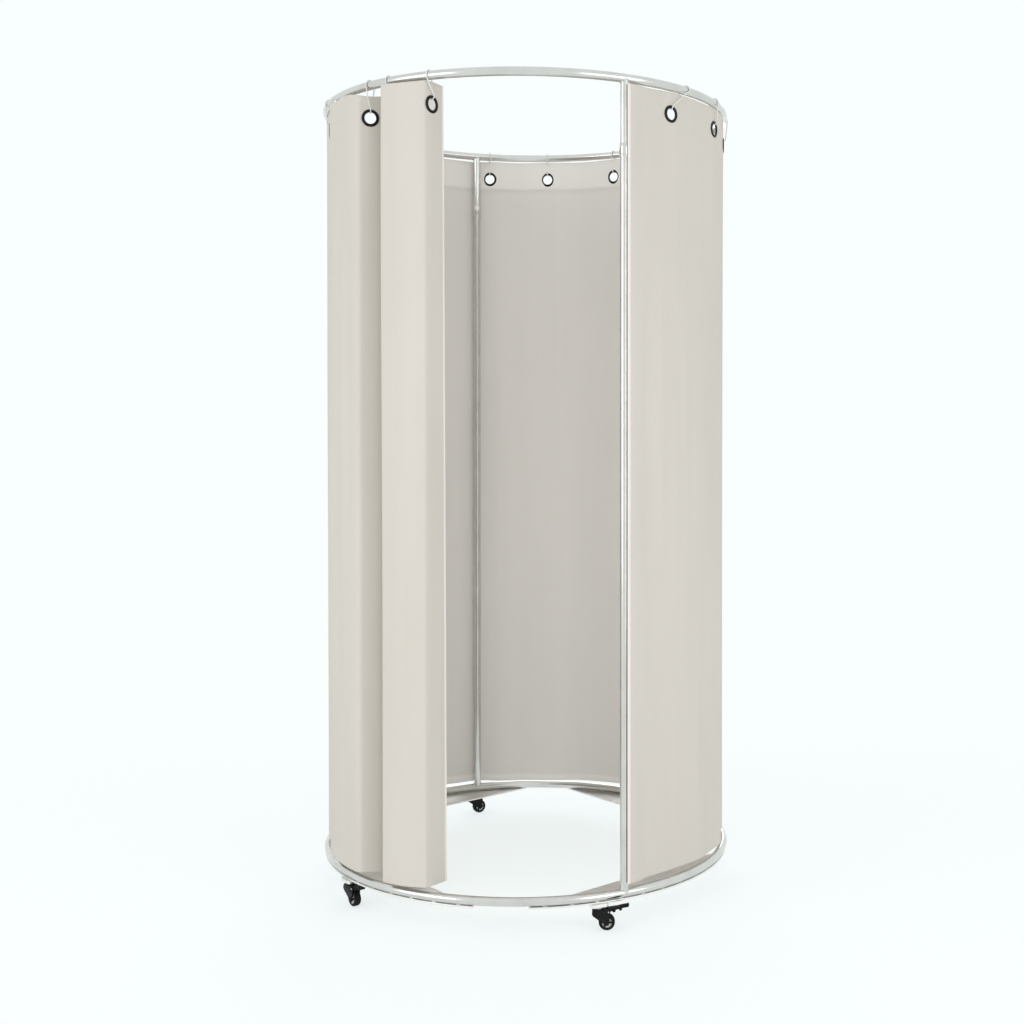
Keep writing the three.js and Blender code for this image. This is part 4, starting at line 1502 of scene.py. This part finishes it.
    def eyelet(self, s: float) -> Mesh:
        """A two-part pressed ring through the cloth.

        Args:
            s: the length it is at.

        Returns:
            The mesh.
        """
        spot, out, height = self.at(s)
        hole, edge, rise = self.eyelet_hole, self.eyelet_outer, self.eyelet_rise
        front = [
            (hole, 0.0006), (hole + 0.0003, rise * 0.75), (hole + 0.0012, rise),
            (hole + 0.0035, rise * 0.95), (edge - 0.001, rise * 0.55), (edge, 0.0003),
        ]
        back = [(r, -z - self.hem_t) for r, z in reversed(front)]
        aim = Vector((*out, 0.0)).to_track_quat("Z", "Y").to_matrix().to_4x4()
        ring = lathe("eyelet", front + back, self.eyelet_steps, self.finishes.eyelet)
        return moved(ring, Matrix.Translation((*spot, height)) @ aim)

    def hook(self, label: str, deg: float, s: float, body: str) -> Piece:
        """A bent wire hook over the ring and through an eyelet.

        Args:
            label: what its name and its solid's name end in.
            deg: its place on the ring.
            s: the length the eyelet is at.
            body: the body it moves with.

        Returns:
            The piece.
        """
        name, over = f"wire_hook_{label}", TUBE_R + self.wire_r + self.hook_clear
        spot, out, height = self.at(s)
        crown, crown_out = place(deg, RING_R, TOP_RING_Z), place(deg, 1.0)
        foot_out = Vector((*out, 0.0))
        if foot_out.dot(crown_out) < 0.0:
            foot_out.negate()
        foot_z = height + self.eyelet_hole - self.wire_r - self.foot_clear
        foot = Vector((*spot, foot_z + self.foot_half))
        legs = []
        for side, shares in ((-1.0, (0.48, 0.36, 0.22)), (1.0, (0.25, 0.45, 0.65))):
            for share in shares:
                aim = crown_out.lerp(foot_out, share * share).normalized()
                wide = over + (self.foot_half - over) * share
                legs.append(crown.lerp(foot, share) + aim * side * wide)
        points = legs[:3] + bend(crown, crown_out, over, tuple(np.arange(180.0, -1.0, -22.5)))
        points += legs[3:] + bend(foot, foot_out, self.foot_half, (*range(0, -181, -30), -205))
        path = [Vector(p) for p in smooth_line(np.array(points), self.wire_steps)]
        mesh = self.patterns.bar(name, path, self.finishes.wire, self.wire_r, self.wire_sides)
        return seat(assembled(name, [softened(mesh, 50.0)]), body, "hook_white", f"hook_{label}")


@dataclass
class Curtain:
    """The curtain: a fixed length round the frame and a drawn-back doorway length."""

    finishes: Finishes
    patterns: Patterns
    pass_r: float = 0.5343
    ripple: float = 0.002
    ripples: int = 16
    bump_deg: float = 9.0
    fixed_degs: Point3 = (45.0, 315.71, 0.2)
    fold_steps: int = 14
    fold_out: float = 0.026
    fold_in: float = 0.172
    first_lean: float = 6.0
    blend_start: Vector = field(default_factory=lambda: place(-27.0, RING_R))
    blend_end: Vector = field(default_factory=lambda: place(-6.5, RING_R))
    hook_degs: tuple[float, ...] = (60.5, 83.2, 106, 127.5, 151, 169.3, 192.3, 211.5, 236, 260.5, 285, 307)
    door_hooks: tuple[tuple[str, float, str], ...] = (
        ("held", -26.6, "stand"), ("inner", -19.2, "door_inner"), ("lead", -6.6, "door_lead"),
    )
    fold_shares: tuple[Point2, ...] = (
        (-40.5, 0.62), (-36, 0.86), (-32, 0.98), (-29.4, 0.98), (-28.2, 0.86), (-27.5, 0.5), (-26.6, 0),
        (-25, -0.14), (-22.6, -0.4), (-20.8, -0.72), (-20, -0.92), (-19.2, -1), (-18.3, -0.94),
        (-17.9, -0.7), (-18.2, -0.4), (-18.8, -0.14), (-19.2, 0), (-19.7, 0.5), (-19.8, 0.84),
        (-19.2, 1.02), (-18.2, 1.04), (-16.4, 0.99), (-14.6, 0.93), (-12.8, 0.82), (-11, 0.68),
        (-9, 0.54), (-7.9, 0.48), (-7.2, 0.4), (-6.8, 0.16), (-6.2, -0.045), (-5.3, -0.17), (-4.4, -0.29),
    )
    eyelet_folds: tuple[int, ...] = (6, 16, 29)
    corner_fold: int = 26

    def hung_at(self, deg: float) -> Vector:
        """Where in plan the fixed cloth hangs at a place, further out where it passes a post.

        Args:
            deg: the place.

        Returns:
            The point.
        """
        hung = RING_R + self.ripple * math.cos(math.radians(deg * self.ripples))
        off = min(self.bump_deg, *(abs(deg - post) for post in POST_DEGS.values()))
        return place(deg, hung + (self.pass_r - hung) * (1 + math.cos(math.pi * off / self.bump_deg)) / 2)

    def around(self) -> Drape:
        """The length that is fixed round the frame.

        Returns:
            The length.
        """
        line = PlanLine(np.array([self.hung_at(deg).xy for deg in np.arange(*self.fixed_degs)]))
        eyelets = [line.nearest(self.hung_at(deg)) for deg in self.hook_degs]
        return Drape(Hung.ROUND, line, eyelets, self.finishes, self.patterns)

    def door(self) -> Drape:
        """The doorway length, drawn back in folds.

        Returns:
            The length.
        """
        folds = [
            place(deg, RING_R + share * (self.fold_out if share > 0 else self.fold_in))
            for deg, share in self.fold_shares
        ]
        start = self.hung_at(POST_DEGS["front_left"])
        line = PlanLine(smooth_line(np.array([spot.xy for spot in (start, *folds)]), self.fold_steps))
        eyelets = [line.nearest(folds[i]) for i in self.eyelet_folds]
        corner = line.nearest(folds[self.corner_fold])
        return Drape(Hung.DOOR, line, eyelets, self.finishes, self.patterns, corner)

    def build(self) -> None:
        """Builds the whole curtain."""
        around, door = self.around(), self.door()
        fixed_cloth, door_cloth = around.cloth(), door.cloth()
        fixed_seams, door_seams = around.seams(), door.seams()
        held, inner, lead = (door.eyelet(s) for s in door.eyelets)
        rings = [*(around.eyelet(s) for s in around.eyelets), held]
        fixed_rings = seat(assembled("curtain_eyelets", rings), "stand")
        inner_ring = seat(assembled("eyelet_inner", [inner]), "door_inner")
        lead_ring = seat(assembled("eyelet_lead", [lead]), "door_lead")
        seat(fixed_cloth, "stand", "curtain", "curtain_round")
        seat(fixed_seams, "stand", "curtain")
        leans = [self.first_lean] + [0.0] * (len(self.hook_degs) - 1)
        hooks = [
            around.hook(f"{i:02d}", deg + lean, s, "stand")
            for i, (deg, lean, s) in enumerate(zip(self.hook_degs, leans, around.eyelets), 1)
        ]
        door_hooks = [
            door.hook(label, deg, s, body) for (label, deg, body), s in zip(self.door_hooks, door.eyelets)
        ]
        folds = ["door_fold_inner", "door_fold_front", "door_fold_crest", "door_fold_lead"]
        for piece, nodes in ((door_cloth, folds), (door_seams, [])):
            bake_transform(piece)
            if nodes:
                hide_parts(*nodes)
            log.info("%s bends from stand to door_lead, %d faces", piece.name, len(piece.data.polygons))
        log.info("cloth widths %.4f and %.4f, drop %.4f", around.line.length, door.line.length, CLOTH_DROP)


# ---- Studio and camera


@dataclass(frozen=True)
class SoftBox:
    """A soft lamp: its place, what it looks at, its width and height, its power in watts, and
    whether polished steel shows it."""

    name: str
    spot: Point3
    aim: Point3
    size: Point2
    power: float
    mirrored: bool = True

    def hang(self) -> None:
        """Adds the lamp."""
        data = bpy.data.lights.new(self.name, "AREA")
        data.shape, data.energy = "RECTANGLE", self.power
        data.size, data.size_y = self.size
        lamp = linked(self.name, data)
        lamp.location = self.spot
        lamp.rotation_euler = (Vector(self.aim) - Vector(self.spot)).to_track_quat("-Z", "Y").to_euler()
        lamp.visible_glossy = self.mirrored


@dataclass
class Studio:
    """Pale floor, soft light and the camera."""

    shade: Point3 = (0.947, 1.0, 1.0)
    sky: Point3 = (1.0, 0.995, 0.985)
    sky_strength: float = 0.72
    floor_dye: Point3 = (0.86, 0.87, 0.87)
    shadow_dye: Point3 = (0.36, 0.38, 0.38)
    shadow_fill: Point3 = (0.635, 0.672, 0.672)
    fade_from: float = 1.1
    fade_over: float = 1.6
    floor_radii: tuple[float, ...] = (2.0, 5.0, 12.0, 30.0)
    floor_steps: int = 48
    lens: float = 48.55
    spot: Vector = field(default_factory=lambda: Vector((1.2067, -3.4802, 1.1735)))
    ahead: Vector = field(default_factory=lambda: Vector((-0.2756, 0.9613, 0.0)))
    shift: Point2 = (-0.0884, -0.07)
    dip: float = 0.655
    boxes: tuple[SoftBox, ...] = (
        SoftBox("key_box", (-3.2, -4.6, 1.8), (0.0, 0.0, 0.7), (3.0, 3.0), 63.0),
        SoftBox("fill_box", (4.6, -2.2, 1.4), (0.0, 0.0, 0.7), (3.0, 3.0), 45.0),
        SoftBox("front_box", (1.2, -4.4, 1.0), (-0.1, 0.3, 0.8), (2.0, 2.0), 20.0, False),
        SoftBox("back_box", (-1.2, 4.8, 2.4), (0.0, 0.0, 0.9), (3.0, 3.0), 48.0),
        SoftBox("inner_box", (0.14, -0.36, 0.86), (0.0, 0.5, 0.82), (0.5, 1.55), 1.65, False),
    )

    def floor_look(self) -> Material:
        """The floor's material: it keeps the object's shadow, and fades to the background far out.

        Returns:
            The material.
        """
        dye = Dye("studio_floor")
        dye.dress({"Base Color": (*self.floor_dye, 1.0), "Roughness": 0.9, "Specular IOR Level": 0.1})
        soft = dye.node("ShaderNodeBsdfDiffuse", {"Color": (*self.shadow_dye, 1.0)})
        fill, plain = (
            dye.node("ShaderNodeEmission", {"Color": (*colour, 1.0), "Strength": 1.0})
            for colour in (self.shadow_fill, self.shade)
        )
        near = dye.node("ShaderNodeAddShader", {0: soft, 1: fill})
        flat = dye.node("ShaderNodeSeparateXYZ", {0: dye.here()})
        x, y = dye.out(flat, 0), dye.out(flat, 1)
        away = (((x * x + y * y) ** 0.5 - self.fade_from) / self.fade_over).most(0.0).least(1.0)
        fade = dye.node("ShaderNodeMixShader", {0: away * away * (3.0 - 2.0 * away), 1: near, 2: plain})
        both = dye.node("ShaderNodeMixShader", {0: dye.seen(), 1: dye.shader, 2: fade})
        dye.plug(dye.sink, {"Surface": both})
        return dye.material

    def floor(self) -> None:
        """Makes the floor, a round sheet."""
        count = self.floor_steps
        turns = [math.tau * i / count for i in range(count)]
        verts = [(0.0, 0.0, 0.0)]
        verts += [(r * math.cos(t), r * math.sin(t), 0.0) for r in self.floor_radii for t in turns]
        faces = [(0, 1 + i, 1 + (i + 1) % count) for i in range(count)]
        for a in range(1, count * (len(self.floor_radii) - 1), count):
            b = a + count
            faces += [(a + i, b + i, b + (i + 1) % count, a + (i + 1) % count) for i in range(count)]
        mesh = raw_mesh("studio_floor", verts, [], faces)
        mesh.materials.append(self.floor_look())
        linked("studio_floor", mesh)

    def world(self) -> None:
        """Lights the object from all round, and shows a pale background."""
        world = bpy.data.worlds.new("studio")
        bpy.context.scene.world = world
        world.use_nodes = True
        wiring = Wiring(world.node_tree)
        wiring.tree.nodes.clear()
        light, shown = (
            wiring.node("ShaderNodeBackground", {"Color": (*colour, 1.0), "Strength": strength})
            for colour, strength in ((self.sky, self.sky_strength), (self.shade, 1.0))
        )
        both = wiring.node("ShaderNodeMixShader", {0: wiring.seen(), 1: light, 2: shown})
        wiring.node("ShaderNodeOutputWorld", {"Surface": both})

    def camera(self) -> None:
        """Sets the camera where the photograph was taken from."""
        data = bpy.data.cameras.new("camera")
        data.lens, data.sensor_width, data.sensor_fit = self.lens, 36.0, "HORIZONTAL"
        data.shift_x, data.shift_y = self.shift
        data.clip_end = 100.0
        camera = linked("camera", data)
        camera.location = self.spot
        turn = math.atan2(-self.ahead.x, self.ahead.y)
        camera.rotation_euler = (math.pi / 2 - math.radians(self.dip), 0.0, turn)
        bpy.context.scene.camera = camera

    def build(self) -> None:
        """Builds the studio."""
        bpy.context.scene.view_settings.view_transform = "Standard"
        self.camera()
        self.floor()
        self.world()
        for box in self.boxes:
            box.hang()


# Each caster's corner, its place round the rings and the way it trails, in degrees.
CASTERS = (
    ("front_right", 37.6, 16.0), ("rear_right", 142.4, 70.0),
    ("rear_left", 217.6, 46.0), ("front_left", 322.4, -33.0),
)


def main() -> None:
    """Builds the studio, then the fitting room in it."""
    logging.basicConfig(level=logging.INFO, format="%(name)s: %(message)s")
    Studio().build()
    finishes, patterns = Finishes(), Patterns()
    RingFrame(finishes, patterns).build()
    for corner, deg, trail in CASTERS:
        Caster(corner, deg, trail, finishes, patterns).build()
    Curtain(finishes, patterns).build()


if __name__ == "__main__":
    main()
